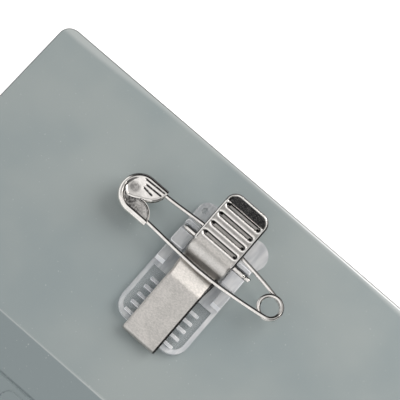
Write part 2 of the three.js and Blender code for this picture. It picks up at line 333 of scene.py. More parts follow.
    @classmethod
    def modify(cls, piece: Piece, kind: str, **settings: object) -> None:
        """Adds a modifier and applies it.

        Args:
            piece: the piece.
            kind: the modifier's type.
            settings: its settings by name.
        """
        modifier = piece.modifiers.new(kind.lower(), kind)
        for key, value in settings.items():
            setattr(modifier, key, value)
        cls.take(piece)
        bpy.ops.object.modifier_apply(modifier=modifier.name)

    @classmethod
    def combine(cls, piece: Piece, how: Join, *tools: Piece) -> None:
        """Joins tools to a piece or cuts them out of it, and removes the tools.

        Args:
            piece: the piece.
            how: whether the tools are added or cut.
            tools: the tools.
        """
        for tool in tools:
            cls.modify(piece, "BOOLEAN", operation=how.value, object=tool, solver="MANIFOLD")
            bpy.data.objects.remove(tool)

    @classmethod
    def copies(cls, piece: Piece, moves: Sequence[Sequence[float]]) -> list[Piece]:
        """Copies a piece, each copy with its own mesh.

        Args:
            piece: the piece that is copied, which stays where it is.
            moves: how far each copy is moved.

        Returns:
            The piece and its copies.
        """
        made = [piece]
        for move in moves:
            cls.take(piece)
            bpy.ops.object.duplicate(linked=False)
            copy = bpy.context.active_object
            copy.location = move
            bpy.ops.object.transform_apply(location=True, rotation=False, scale=False)
            made.append(copy)
        return made

    @classmethod
    def mirrored(cls, piece: Piece) -> Piece:
        """Copies a piece to the other side of the middle plane X 0.

        Args:
            piece: the piece that is copied, which stays where it is.

        Returns:
            The copy, with its faces pointing out.
        """
        cls.take(piece)
        bpy.ops.object.duplicate(linked=False)
        copy = bpy.context.active_object
        copy.scale = (-1, 1, 1)
        bpy.ops.object.transform_apply(location=False, rotation=False, scale=True)
        cls.face_out(copy)
        return copy

    @classmethod
    def face_out(cls, piece: Piece, apart: float = TINY) -> None:
        """Merges a piece's doubled points and turns its faces outwards.

        Args:
            piece: the piece.
            apart: points nearer than this are merged.
        """
        with cls.editing(piece):
            bpy.ops.mesh.select_all(action="SELECT")
            bpy.ops.mesh.remove_doubles(threshold=apart)
            bpy.ops.mesh.normals_make_consistent(inside=False)

    @classmethod
    def blank(cls, name: str, rows: int, columns: int, shape: Point) -> Piece:
        """Adds a flat grid, as a blank of sheet, and presses it into a shape.

        Args:
            name: the piece's name.
            rows: how many rows of points it has.
            columns: how many columns of points it has.
            shape: gives the pressed place of a row's and a column's number.

        Returns:
            The pressed sheet, without thickness.
        """
        cls.clear()
        bpy.ops.mesh.primitive_grid_add(x_subdivisions=columns - 1, y_subdivisions=rows - 1, size=2)
        piece = cls._named(name)
        for vertex in piece.data.vertices:
            column = round((vertex.co.x + 1) / 2 * (columns - 1))
            row = round((vertex.co.y + 1) / 2 * (rows - 1))
            vertex.co = shape(row, column)
        return piece

    @classmethod
    def two_sided(cls, name: str, rows: int, columns: int, outside: Point,
                  inside: Point) -> Piece:
        """Presses the two faces of a sheet and closes the edge between them.

        Args:
            name: the piece's name.
            rows: how many rows of points each face has.
            columns: how many columns of points each face has.
            outside: gives the places on the outer face.
            inside: gives the places on the inner face.

        Returns:
            The sheet as one closed body.
        """
        outer = cls.blank(name, rows, columns, outside)
        inner = cls.blank(name + "_inner", rows, columns, inside)
        cls.take(outer, inner)
        bpy.ops.object.join()
        with cls.editing(outer):
            cls.pick_edges(outer, lambda e: e.is_boundary)
            bpy.ops.mesh.bridge_edge_loops()
            bpy.ops.mesh.select_all(action="SELECT")
            bpy.ops.mesh.normals_make_consistent(inside=False)
        return outer

    @classmethod
    def finish(cls, piece: Piece, body: str, slot: str, material: bpy.types.Material,
               replaces: Optional[str] = None, angle: float = 35.0,
               weighted: bool = True) -> Piece:
        """Shades a modelled piece, takes it to metres and seats it on its body.

        Args:
            piece: the piece, in millimetres.
            body: the body that it rides on.
            slot: the record's material slot; not used.
            material: its material.
            replaces: the node that it stands for.
            angle: edges sharper than this many degrees stay crisp.
            weighted: whether large faces keep their own direction in the shading.

        Returns:
            The finished piece.
        """
        cls.take(piece)
        piece.scale = (MM, MM, MM)
        bpy.ops.object.transform_apply(location=True, rotation=True, scale=True)
        bpy.ops.object.shade_smooth_by_angle(angle=math.radians(angle))
        if weighted:
            cls.modify(piece, "WEIGHTED_NORMAL", keep_sharp=True, weight=100)
        piece.data.materials.clear()
        piece.data.materials.append(material)
        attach(piece, body)
        if replaces:
            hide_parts(replaces)
        log.info("%s: %d faces on %s", piece.name, len(piece.data.polygons), body)
        return piece


class Socket:
    """A shader socket in an expression; an operator on it adds its Math node."""

    def __init__(self, graph: "Graph", link: bpy.types.NodeSocket) -> None:
        """Wraps a socket.

        Args:
            graph: the graph that it is in.
            link: the output socket.
        """
        self.graph = graph
        self.link = link

    def _math(self, operation: str, *values: Union["Socket", float]) -> "Socket":
        """Adds a Math node on these values.

        Args:
            operation: the node's operation.
            values: its inputs in order.

        Returns:
            Its result.
        """
        return self.graph.node("ShaderNodeMath", {"operation": operation}, dict(enumerate(values)))

    def __add__(self, other: Union["Socket", float]) -> "Socket":
        """Adds."""
        return self._math("ADD", self, other)

    __radd__ = __add__

    def __mul__(self, other: Union["Socket", float]) -> "Socket":
        """Multiplies."""
        return self._math("MULTIPLY", self, other)

    __rmul__ = __mul__

    def __sub__(self, other: Union["Socket", float]) -> "Socket":
        """Subtracts."""
        return self._math("SUBTRACT", self, other)

    def __rsub__(self, other: float) -> "Socket":
        """Subtracts this from a number."""
        return self._math("SUBTRACT", other, self)

    def or_more(self, other: "Socket") -> "Socket":
        """Gives the larger of two values."""
        return self._math("MAXIMUM", self, other)

    def between(self, low: float, high: float) -> "Socket":
        """Gives 0 below low, 1 above high and a smooth rise between them."""
        return self.graph.node("ShaderNodeMapRange", {"interpolation_type": "SMOOTHSTEP"},
                               {0: self, 1: low, 2: high, 3: 0.0, 4: 1.0})


class Graph:
    """A node tree that is written as expressions."""

    def __init__(self, tree: bpy.types.NodeTree) -> None:
        """Empties a node tree.

        Args:
            tree: the tree.
        """
        self.tree = tree
        tree.nodes.clear()

    def node(self, kind: str, settings: Optional[dict] = None, inputs: Optional[dict] = None,
             output: Union[int, str] = 0) -> Socket:
        """Adds a node.

        Args:
            kind: the node's type.
            settings: its own settings, which are set first.
            inputs: values or sockets by the input's name or number.
            output: the output that is given back, by name or number.

        Returns:
            The output.
        """
        made = self.tree.nodes.new(kind)
        for key, value in (settings or {}).items():
            setattr(made, key, value)
        for key, value in (inputs or {}).items():
            if isinstance(value, Socket):
                self.tree.links.new(value.link, made.inputs[key])
            else:
                made.inputs[key].default_value = value
        return Socket(self, made.outputs[output] if made.outputs else None)

    def places(self) -> Socket:
        """Gives the place on the object, in metres."""
        return self.node("ShaderNodeTexCoord", output="Object")

    def place(self, axis: str) -> Socket:
        """Gives the place on the object along one axis, in millimetres."""
        return self.node("ShaderNodeSeparateXYZ", None, {0: self.places()}, axis) * (1 / MM)

    def facing(self, axis: str) -> Socket:
        """Gives how far the surface faces along one axis of the object."""
        normal = self.node("ShaderNodeTexCoord", output="Normal")
        return self.node("ShaderNodeSeparateXYZ", None, {0: normal}, axis)

    def mark(self, name: str) -> Socket:
        """Gives a value that is marked on the mesh."""
        return self.node("ShaderNodeAttribute", {"attribute_name": name}, output="Fac")

    def noise(self, size: float, detail: float = 2.0, roughness: float = 0.5,
              along: Optional[Sequence[float]] = None) -> Socket:
        """Gives a noise pattern.

        Args:
            size: how large its patches are, in millimetres.
            detail: how many finer layers it has.
            roughness: how strong the finer layers are.
            along: how much longer the patches are along X, Y and Z.

        Returns:
            The noise, around 0.5.
        """
        vector = self.places()
        if along:
            vector = self.node("ShaderNodeMapping", None, {
                "Vector": vector, "Scale": [1 / s for s in along]})
        return self.node("ShaderNodeTexNoise", None, {
            "Vector": vector, "Scale": 1 / (size * MM), "Detail": detail, "Roughness": roughness})

    def blend(self, share: Socket, low: Union[Socket, Colour],
              high: Union[Socket, Colour]) -> Socket:
        """Blends two colours.

        Args:
            share: how much of the second one there is.
            low: the first colour.
            high: the second colour.

        Returns:
            The blend.
        """
        return self.node("ShaderNodeMix", {"data_type": "RGBA"}, {0: share, 6: low, 7: high}, 2)

    def bump(self, height: Socket, depth: float, strength: float = 1.0) -> Socket:
        """Gives the normal of a surface with fine relief.

        Args:
            height: the relief, from 0 to 1.
            depth: how deep it is, in millimetres.
            strength: how much of it is seen.

        Returns:
            The normal.
        """
        return self.node("ShaderNodeBump", None, {
            "Strength": strength, "Distance": depth * MM, "Height": height})


class Finish:
    """A finish that makes its own material."""

    name: str

    def surface(self, graph: Graph) -> dict:
        """Gives the shader's inputs by name."""
        raise NotImplementedError

    def material(self) -> bpy.types.Material:
        """Makes the material once and gives it back each time.

        Returns:
            The material.
        """
        made = bpy.data.materials.get(self.name)
        if made:
            return made
        made = bpy.data.materials.new(self.name)
        made.use_nodes = True
        graph = Graph(made.node_tree)
        shader = graph.node("ShaderNodeBsdfPrincipled", None, self.surface(graph))
        graph.node("ShaderNodeOutputMaterial", None, {"Surface": shader})
        return made


@dataclass(frozen=True)
class GreyMoulding(Finish):
    """Satin blue-grey moulded plastic, with a fine moulded skin, a little dust, and painted
    highlight and shadow lines along its step and edges.
    """

    name: str = "grey_moulding"
    dark: Colour = (0.272, 0.320, 0.328, 1)
    light: Colour = (0.326, 0.366, 0.364, 1)
    band: Colour = (0.222, 0.264, 0.274, 1)
    highlight_tone: Colour = (0.56, 0.585, 0.58, 1)
    dust: Colour = (0.50, 0.53, 0.53, 1)
    white: Colour = (0.90, 0.92, 0.93, 1)
    shadow: Colour = (0.07, 0.066, 0.062, 1)
    band_edge: tuple = (-17.1, -16.9)
    step_rise: tuple = (-17.16, -17.02)
    step_fall: tuple = (-16.94, -16.80)
    highlight_edge: tuple = (28.9, 29.9)
    highlight_run: tuple = (8.0, 44.0)
    highlight_narrowing: float = 0.9
    glint: tuple = (29.36, 29.48)
    glint_run: tuple = (-12.0, 20.0)
    upper_rim: tuple = (27.0, 27.5)
    side_rim: tuple = (44.0, 44.5)
    round_foot: tuple = (2.6, 2.72)
    round_slope: tuple = (0.72, 0.9)
    cloud_size: float = 26.0
    skin_size: float = 0.16
    dust_size: float = 0.42
    dust_from: tuple = (0.735, 0.80)
    step_share: float = 0.42
    highlight_share: float = 0.5
    glint_share: float = 0.85
    shadow_share: float = 0.9
    dust_share: float = 0.55

    def surface(self, graph: Graph) -> dict:
        """Gives the shader's inputs: clouds of tone, fine skin, specks of dust, painted highlights
        on the step and the upper edge, and a painted shadow line on the rounded edge.

        Args:
            graph: the material's graph.

        Returns:
            The inputs by name.
        """
        clouds = graph.noise(self.cloud_size, 3.0, 0.55)
        skin = graph.noise(self.skin_size, 3.0, 0.6)
        specks = graph.noise(self.dust_size, 1.0, 0.4).between(*self.dust_from)
        x, y, z = (graph.place(axis) for axis in "XYZ")
        away, level = x * x, graph.facing("Z")
        # Painted highlight: the step at the top of the band is coloured pale.
        step = y.between(*self.step_rise) * (1 - y.between(*self.step_fall))
        # Painted highlight: a pale band along the rounded upper edge, wider towards the corners.
        narrowing = away.between(*(run ** 2 for run in self.highlight_run))
        edge = (y + self.highlight_narrowing * narrowing + 0.3 * clouds).between(*self.highlight_edge)
        glint = y.between(*self.glint) * x.between(*self.glint_run)
        rim = y.between(*self.upper_rim).or_more(away.between(*(run ** 2 for run in self.side_rim)))
        rounded = (1 - (level * level).between(*self.round_slope)) * z.between(*self.round_foot)
        tone = graph.blend(clouds.between(0.32, 0.68), self.dark, self.light)
        for share, colour in (
                (1 - y.between(*self.band_edge), self.band),
                (step * self.step_share, self.highlight_tone), (edge * self.highlight_share, self.highlight_tone),
                (glint * self.glint_share, self.white),
                (rounded * rim * self.shadow_share, self.shadow),
                (specks * self.dust_share, self.dust)):
            tone = graph.blend(share, tone, colour)
        return {
            "Base Color": tone,
            "Roughness": 0.24 + 0.08 * clouds + 0.06 * skin,
            "Normal": graph.bump(skin, 0.004, 0.5),
            "IOR": 1.5,
            "Specular IOR Level": 0.5,
        }


@dataclass(frozen=True)
class ClearMoulding(Finish):
    """Clear moulded plastic, faintly milky, with flow marks in its skin, painted highlights on its
    walls and front faces, and painted light on its right-hand side.
    """

    name: str = "clear_moulding"
    dark: Colour = (0.87, 0.89, 0.93, 1)
    light: Colour = (0.98, 0.985, 1.0, 1)
    haze: float = 0.09
    thick_haze: float = 0.36
    wall_highlight: float = 0.58
    front_highlight: float = 0.9
    thick_from: tuple = (4.1, 4.35)
    even_milk: float = 0.62
    flow_milk: float = 0.3
    painted_light_side: float = 0.5
    painted_light_run: tuple = (-3.0, 6.0)
    steep_slope: tuple = (0.2, 0.97)
    front_slope: tuple = (0.3, 0.8)

    def surface(self, graph: Graph) -> dict:
        """Gives the shader's inputs: clear, milky where it is thick, with painted highlights on its
        walls and front faces and painted light towards +X.

        Args:
            graph: the material's graph.

        Returns:
            The inputs by name.
        """
        flow = graph.noise(2.2, 2.0, 0.5, along=(0.5, 2.0, 1.0))
        skin = graph.noise(0.5, 2.0, 0.5)
        level = graph.facing("Z")
        # Painted highlight: steep walls are made milky white, standing in for the bright rims that
        # refraction gives.
        steep = 1 - (level * level).between(*self.steep_slope)
        # Painted highlight: faces turned towards -Y are made nearly opaque white.
        front = (graph.facing("Y") * -1.0).between(*self.front_slope)
        thick = graph.place("Z").between(*self.thick_from)
        # Real milkiness in the flow marks, plus painted light: milkier towards +X, where the base
        # is lit, and clearer to the left, in the strap's shadow.
        milk_and_painted_light = (self.even_milk + self.flow_milk * flow.between(0.3, 0.7)
                + self.painted_light_side * graph.place("X").between(*self.painted_light_run))
        return {
            "Base Color": graph.blend(flow.between(0.35, 0.65), self.dark, self.light),
            "Roughness": 0.05 + 0.08 * flow,
            "Alpha": (self.haze + self.thick_haze * thick * milk_and_painted_light + self.wall_highlight * steep
                      + self.front_highlight * front),
            "Normal": graph.bump(skin, 0.02, 0.4),
            "IOR": 1.46,
        }


@dataclass(frozen=True)
class SheetNickel(Finish):
    """Nickel plate on rolled spring sheet, with the grain of the roll and a soft sheen."""

    name: str = "sheet_nickel"
    dark: Colour = (0.44, 0.430, 0.410, 1)
    light: Colour = (0.69, 0.66, 0.63, 1)
    highlight_colour: Colour = (0.97, 0.95, 0.92, 1)
    painted_shade: Colour = (0.02, 0.02, 0.021, 1)

    def surface(self, graph: Graph) -> dict:
        """Gives the shader's inputs: clouded plate with a short grain, painted shade in the
        recesses and outlines, and painted highlights on the lips and rims.

        Args:
            graph: the material's graph.

        Returns:
            The inputs by name.
        """
        clouds = graph.noise(3.2, 3.0, 0.6)
        grain = graph.noise(0.24, 3.0, 0.75, along=(1.6, 1.0, 1.0))
        speckle = graph.noise(0.15, 2.0, 0.7).between(0.42, 0.66)
        # Painted shade and painted highlights, marked on the mesh; the shade is blended towards
        # near black.
        painted_shade, polish_and_highlight = graph.mark("painted_shade"), graph.mark("polish_and_highlight")
        plate = graph.blend((0.35 * clouds + 0.65 * grain).between(0.3, 0.7), self.dark, self.light)
        # Painted highlight: the marked lips and rims are blended towards near white; the same mark
        # also lowers their roughness.
        highlighted = graph.blend(0.85 * polish_and_highlight, plate, self.highlight_colour)
        return {
            "Base Color": graph.blend(painted_shade * (1.14 - 0.34 * speckle), highlighted, self.painted_shade),
            "Metallic": 1.0,
            "Roughness": 0.34 + 0.16 * grain - 0.26 * polish_and_highlight,
            "Normal": graph.bump(grain, 0.02, 0.8),
        }


@dataclass(frozen=True)
class BrightNickel(Finish):
    """Bright nickel plate on drawn wire and small pressings."""

    name: str = "bright_nickel"
    dark: Colour = (0.76, 0.735, 0.705, 1)
    light: Colour = (0.93, 0.90, 0.865, 1)
    painted_shade: Colour = (0.03, 0.03, 0.03, 1)
    dark_side: tuple = (0.14, 0.32)

    def surface(self, graph: Graph) -> dict:
        """Gives the shader's inputs: bright plate, with painted shade in its creases and a painted
        dark reflection on the side facing +Y.

        Args:
            graph: the material's graph.

        Returns:
            The inputs by name.
        """
        stains = graph.noise(1.4, 3.0, 0.6)
        marks = graph.noise(0.4, 3.0, 0.6)
        # Painted dark reflection: the side facing +Y is darkened.
        turned = graph.facing("Y").between(*self.dark_side)
        # Painted shade in the cap's crimps, seams, dimple and guard, marked on the mesh.
        creased = graph.mark("painted_shade") * (0.74 + 0.5 * marks.between(0.35, 0.65))
        plate = graph.blend(stains.between(0.3, 0.7), self.dark, self.light)
        return {
            "Base Color": graph.blend((0.93 * turned).or_more(creased), plate, self.painted_shade),
            "Metallic": 1.0,
            "Roughness": 0.06 + 0.08 * stains,
            "Normal": graph.bump(marks, 0.014, 0.5),
        }


@dataclass
class Holder:
    """The card holder: the clear front sheet and the grey back with its band, slit and pad."""

    length: float = 94.0
    height: float = 60.0
    corner: float = 2.5
    edge_round: float = 0.35
    crown: tuple = (0.5, 1.5)
    crown_slope: float = 0.2
    crown_run: tuple = (5.0, 45.0)
    crown_steps: int = 8
    crown_parts: int = 16
    window: float = 0.9
    window_round: float = 0.3
    window_gap: float = 0.02
    seam_round: float = 0.06
    top: float = 3.0
    pocket_half_length: float = 45.25
    pocket_half_height: float = 27.25
    pocket_depth: float = 0.6
    band_top: float = -16.9
    band_rise: float = 0.25
    band_round: float = 0.18
    slope: float = 0.2
    slit_y: float = -24.9
    slit_half: float = 0.34
    slit_floor: float = 0.04
    slit_depth: float = 0.26
    pad_half: float = 11.5
    pad_top: float = -26.0
    pad_rise: float = 0.26
    pad_corner: float = 1.5
    pad_round: float = 0.24
    pad_root: float = 0.3

    def build_window(self) -> None:
        """Builds the clear front sheet."""
        x, y = self.length / 2, self.height / 2
        sheet = Bench.rounded(
            "front_sheet", (-x, -y, 0), (x, y, self.window - self.window_gap), self.corner,
            top=self.seam_round, bottom=self.window_round, edge_segments=4)
        Bench.finish(sheet, BADGE, "window", ClearMoulding("clear_sheet").material(),
                     "front_window")

    def build_back(self) -> None:
        """Builds the grey back, with the card pocket open at its right-hand end."""
        x, y = self.length / 2, self.height / 2
        back = Bench.rounded("grey_back", (-x, -y, self.window), (x, y, self.top), self.corner,
                             top=self.edge_round, edge_segments=8, segments=14)
        rim = self.top - self.edge_round - HAIR
        Bench.slice(back, (0, 1, 0), (
            self.band_top + self.slope, self.band_top - self.slope,
            self.slit_y + self.slit_half, self.slit_y + self.slit_floor,
            self.slit_y - self.slit_floor, self.slit_y - self.slit_half))
        Bench.shift(back, lambda p: p.z > rim and p.y < self.band_top, (0, 0, self.band_rise))
        Bench.bevel(back, lambda e: all(p.z > rim for p in (v.co for v in e.verts))
                    and all(abs(v.co.y - self.band_top) < self.slope + HAIR for v in e.verts)
                    and abs(e.verts[0].co.y - e.verts[1].co.y) < HAIR, self.band_round, 4)
        Bench.shift(back, lambda p: p.z > rim and abs(p.y - self.slit_y) < self.slit_floor + HAIR,
                    (0, 0, -self.slit_depth))
        self._crown_edge(back, rim)
        pad_height = self.top + self.band_rise + self.pad_rise
        pad = Bench.rounded(
            "thumb_pad", (-self.pad_half, -y - self.pad_corner, self.top - self.pad_root),
            (self.pad_half, self.pad_top, pad_height), self.pad_corner, top=self.pad_round)
        Bench.combine(pad, Join.CUT, Bench.block("pad_trim", (-x, -y - 5, 0),
                                                 (x, -y + self.edge_round, 2 * self.top)))
        Bench.combine(back, Join.ADD, pad)
        pocket = Bench.block("pocket", (-self.pocket_half_length, -self.pocket_half_height, 0),
                             (x + 1, self.pocket_half_height, self.window + self.pocket_depth))
        Bench.combine(back, Join.CUT, pocket)
        Bench.finish(back, BADGE, "panel", GreyMoulding().material(), "back_panel", angle=30)

    def _crown_edge(self, back: Piece, rim: float) -> None:
        """Lowers the back softly towards its upper edge, wider towards the corners.

        Args:
            back: the grey back.
            rim: the height above which its points belong to its upper side.
        """
        narrow, wide = self.crown
        y = self.height / 2
        steps = self.crown_steps
        Bench.slice(back, (0, 1, 0), [y - wide * (1 - i / steps) for i in range(steps - 1)])
        parts = self.crown_parts
        Bench.slice(back, (1, 0, 0), [self.length * (i / parts - 0.5) for i in range(1, parts)])
        for vertex in back.data.vertices:
            if vertex.co.z > rim and vertex.co.y > y - wide:
                width = narrow + (wide - narrow) * smoothstep(*self.crown_run, abs(vertex.co.x))
                t = max((vertex.co.y - y) / width + 1, 0.0)
                vertex.co.z -= self.crown_slope * width * t * t

    def build(self) -> None:
        """Builds the holder."""
        self.build_window()
        self.build_back()


@dataclass
class ClipBase:
    """The clear moulding that the metal clip sits in, and its axle."""

    foot: float = 3.0
    foot_gap: float = 0.01
    half: float = 7.35
    lower: float = -3.95
    shoulder: float = 19.0
    thickness: float = 1.4
    corner: float = 3.0
    rim: float = 0.8
    recess: float = 0.4
    recess_end: float = 6.5
    lobes: tuple = ((-5.15, 19.4, 2.2), (5.35, 19.1, 2.9))
    edge_round: float = 0.32
    mark: tuple = (-6.05, 19.6, 0.62)
    mark_depth: float = 0.22
    mark_oval: float = 0.8
    rib_first: float = -2.73
    rib_pitch: float = 1.745
    rib_count: int = 5
    rib_half: float = 5.4
    rib_width: float = 0.6
    rib_top: float = 1.9
    rib_root: float = 0.2
    rib_corner: float = 0.2
    rib_round: float = 0.14
    cheek: tuple = (4.35, 7.25, 10.95, 16.0)
    cheek_top: float = 4.6
    cheek_corner: float = 0.5
    cheek_round: float = 0.3
    rail_inner: float = 5.45
    rail_start: float = 7.05
    rail_top: float = 2.7
    rail_slope: float = 0.9
    rail_round: float = 0.15
    rail_lap: float = 0.3
    soften: tuple = (0.12, 55.0)
    axle_y: float = 14.6
    axle_height: float = 4.05
    axle_radius: float = 0.45
    axle_play: float = 0.2
    axle_round: float = 0.18
    neck_in: float = 1.15
    neck_half: float = 0.34
    neck_depth: float = 0.13

    def _body(self) -> Piece:
        """Models the plate with its two lobes, its rim and the recess inside it.

        Returns:
            The plate.
        """
        z0, z1 = self.foot + self.foot_gap, self.foot + self.thickness
        body = Bench.block("clear_base", (-self.half, self.lower, z0),
                           (self.half, self.shoulder, z1))
        Bench.bevel(body, lambda e: upright(e) and e.verts[0].co.y < 0, self.corner, 12)
        for x, y, radius in self.lobes:
            Bench.combine(body, Join.ADD, Bench.boss("lobe", (x, y, z0), radius, z1))
        Bench.bevel(body, lambda e: level_at(e, z1)
                    and any(abs(f.normal.z) < 0.5 for f in e.link_faces), self.edge_round, 5)
        inner = self.half - self.rim
        recess = Bench.block("recess", (-inner, self.lower + self.rim, z1 - self.recess),
                             (inner, self.recess_end, z1 + 1))
        Bench.bevel(recess, lambda e: upright(e) and e.verts[0].co.y < 0,
                    self.corner - self.rim, 10)
        Bench.combine(body, Join.CUT, recess)
        x, y, radius = self.mark
        mark = Bench.boss("oval_mark", (x, y, z1 - self.mark_depth), radius, z1 + 1, 32)
        mark.scale = (self.mark_oval, 1, 1)
        mark.location.x = x * (1 - self.mark_oval)
        Bench.combine(body, Join.CUT, mark)
        return body

    def _ribs(self) -> list[Piece]:
        """Models one grip rib and copies it.

        Returns:
            The ribs.
        """
        z0 = self.foot + self.thickness - self.recess - self.rib_root
        y = self.rib_first
        rib = Bench.rounded("grip_rib", (-self.rib_half, y - self.rib_width / 2, z0),
                            (self.rib_half, y + self.rib_width / 2, self.foot + self.rib_top),
                            self.rib_corner, top=self.rib_round, segments=4, edge_segments=3)
        return Bench.copies(rib, [(0, self.rib_pitch * i, 0) for i in range(1, self.rib_count)])

    def _side(self) -> list[Piece]:
        """Models the right-hand cheek and rail and mirrors them to the left.

        Returns:
            The cheeks and the rails.
        """
        z0 = self.foot + self.thickness / 2
        x0, x1, y0, y1 = self.cheek
        cheek = Bench.rounded("cheek", (x0, y0, z0), (x1, y1, self.foot + self.cheek_top),
                              self.cheek_corner, top=self.cheek_round, segments=6)
        rail = Bench.block("rail", (self.rail_inner, self.rail_start, z0),
                           (x1, y0 + self.rail_lap, self.foot + self.rail_top))
        top = self.foot + self.rail_top
        Bench.shift(rail, lambda p: p.y < self.rail_start + HAIR and p.z > top - HAIR,
                    (0, self.rail_slope, 0))
        Bench.bevel(rail, lambda e: all(v.co.z > top - HAIR for v in e.verts), self.rail_round, 3)
        return [cheek, rail, Bench.mirrored(cheek), Bench.mirrored(rail)]

    def build(self) -> None:
        """Builds the clear base and the axle in its slots."""
        base = self._body()
        Bench.combine(base, Join.ADD, *self._ribs(), *self._side())
        reach = self.axle_radius + self.axle_play
        z = self.foot + self.axle_height
        slot = Bench.block("slot", (-9, self.axle_y - reach, z - reach),
                           (9, self.axle_y + reach, z + 5))
        Bench.combine(base, Join.CUT, slot)
        Bench.face_out(base)
        width, angle = self.soften
        Bench.modify(base, "BEVEL", width=width, segments=2, limit_method="ANGLE",
                     angle_limit=math.radians(angle))
        Bench.finish(base, BADGE, "clip_base", ClearMoulding().material(), "clip_base", angle=40)
        low, high = (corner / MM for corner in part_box("axle_bar"))
        axle = Bench.bar("axle_pin", (low.x, self.axle_y, z), high.x, self.axle_radius)
        Bench.bevel(axle, lambda e: len({round(v.co.x, 3) for v in e.verts}) == 1,
                    self.axle_round, 5)
        self._turn_necks(axle, high.x)
        Bench.finish(axle, BADGE, "bright_metal", BrightNickel().material(), "axle_bar", angle=60)

    def _turn_necks(self, axle: Piece, end: float) -> None:
        """Turns a narrow neck near each end of the axle, between two soft shoulders.

        Args:
            axle: the axle, which runs along X.
            end: the place of its right end.
        """
        neck, width = end - self.neck_in, self.neck_half
        steps = [neck + width * (i / 6 - 1) for i in range(13)]
        Bench.slice(axle, (1, 0, 0), [x * side for side in (-1, 1) for x in steps])
        z = self.foot + self.axle_height
        for vertex in axle.data.vertices:
            place = (abs(vertex.co.x) - neck) / width
            if abs(place) < 1:
                bow = math.cos(place * math.pi / 2) ** 2
                scale = 1 - self.neck_depth / self.axle_radius * bow
                vertex.co.y = self.axle_y + (vertex.co.y - self.axle_y) * scale
                vertex.co.z = z + (vertex.co.z - z) * scale


@dataclass
class Drawn:
    """A flat sheet drawn down over a rounded edge: where its blank's points end up.

    The blank lies in a plane with X across and D along it. The edge follows a rounded end.
    """

    half: float
    end: float
    corner: float
    radius: float
    drop: float = 0.0
    sweep: float = math.pi / 2

    def reach(self) -> float:
        """How far the rounded edge reaches sideways."""
        return self.radius * math.sin(self.sweep)

    def blank_half(self) -> float:
        """How far the blank reaches to each side."""
        return self.half - self.reach() + self.radius * self.sweep + self.drop

    def blank_corner(self) -> float:
        """The corner radius of the blank."""
        return self.corner + self.blank_half() - self.half

    def width_at(self, d: float) -> float:
        """How far the blank reaches to each side at a place along it.

        Args:
            d: the place.

        Returns:
            The reach.
        """
        past = d - (self.end - self.corner)
        if past <= 0:
            return self.blank_half()
        corner = self.blank_corner()
        return self.blank_half() - corner + math.sqrt(max(corner ** 2 - past ** 2, 0))

    def draw(self, x: float, d: float) -> tuple[float, float, float, Vector, float]:
        """Draws a point of the blank down over the edge.

        Args:
            x: the point's place across the blank.
            d: its place along the blank.

        Returns:
            Its place across and along, how far it went down, its direction outwards as
            (across, along, up), and how far it lies inside the outline.
        """
        dx = max(abs(x) - (self.half - self.corner), 0.0)
        dy = max(d - (self.end - self.corner), 0.0)
        away = math.hypot(dx, dy)
        past = away - (self.corner - self.reach())
        if away < 1e-9 or past <= 0:
            return x, d, 0.0, Vector((0, 0, 1)), self.reach() - past
        out = Vector((math.copysign(dx, x) / away, dy / away, 0))
        turn = min(past / self.radius, self.sweep)
        extra = max(past - self.radius * self.sweep, 0.0)
        down = self.radius * (1 - math.cos(turn)) + extra * math.sin(self.sweep)
        out_run = self.radius * math.sin(turn) + extra * math.cos(self.sweep)
        normal = out * math.sin(turn) + Vector((0, 0, math.cos(turn)))
        pull = out_run - past
        return x + out.x * pull, d + out.y * pull, down, normal, self.reach() - out_run


@dataclass
class Bend:
    """A corner of the clip's side profile: its place, the sheet's half width and the radius."""

    y: float
    z: float
    half: float
    radius: float = 0.0


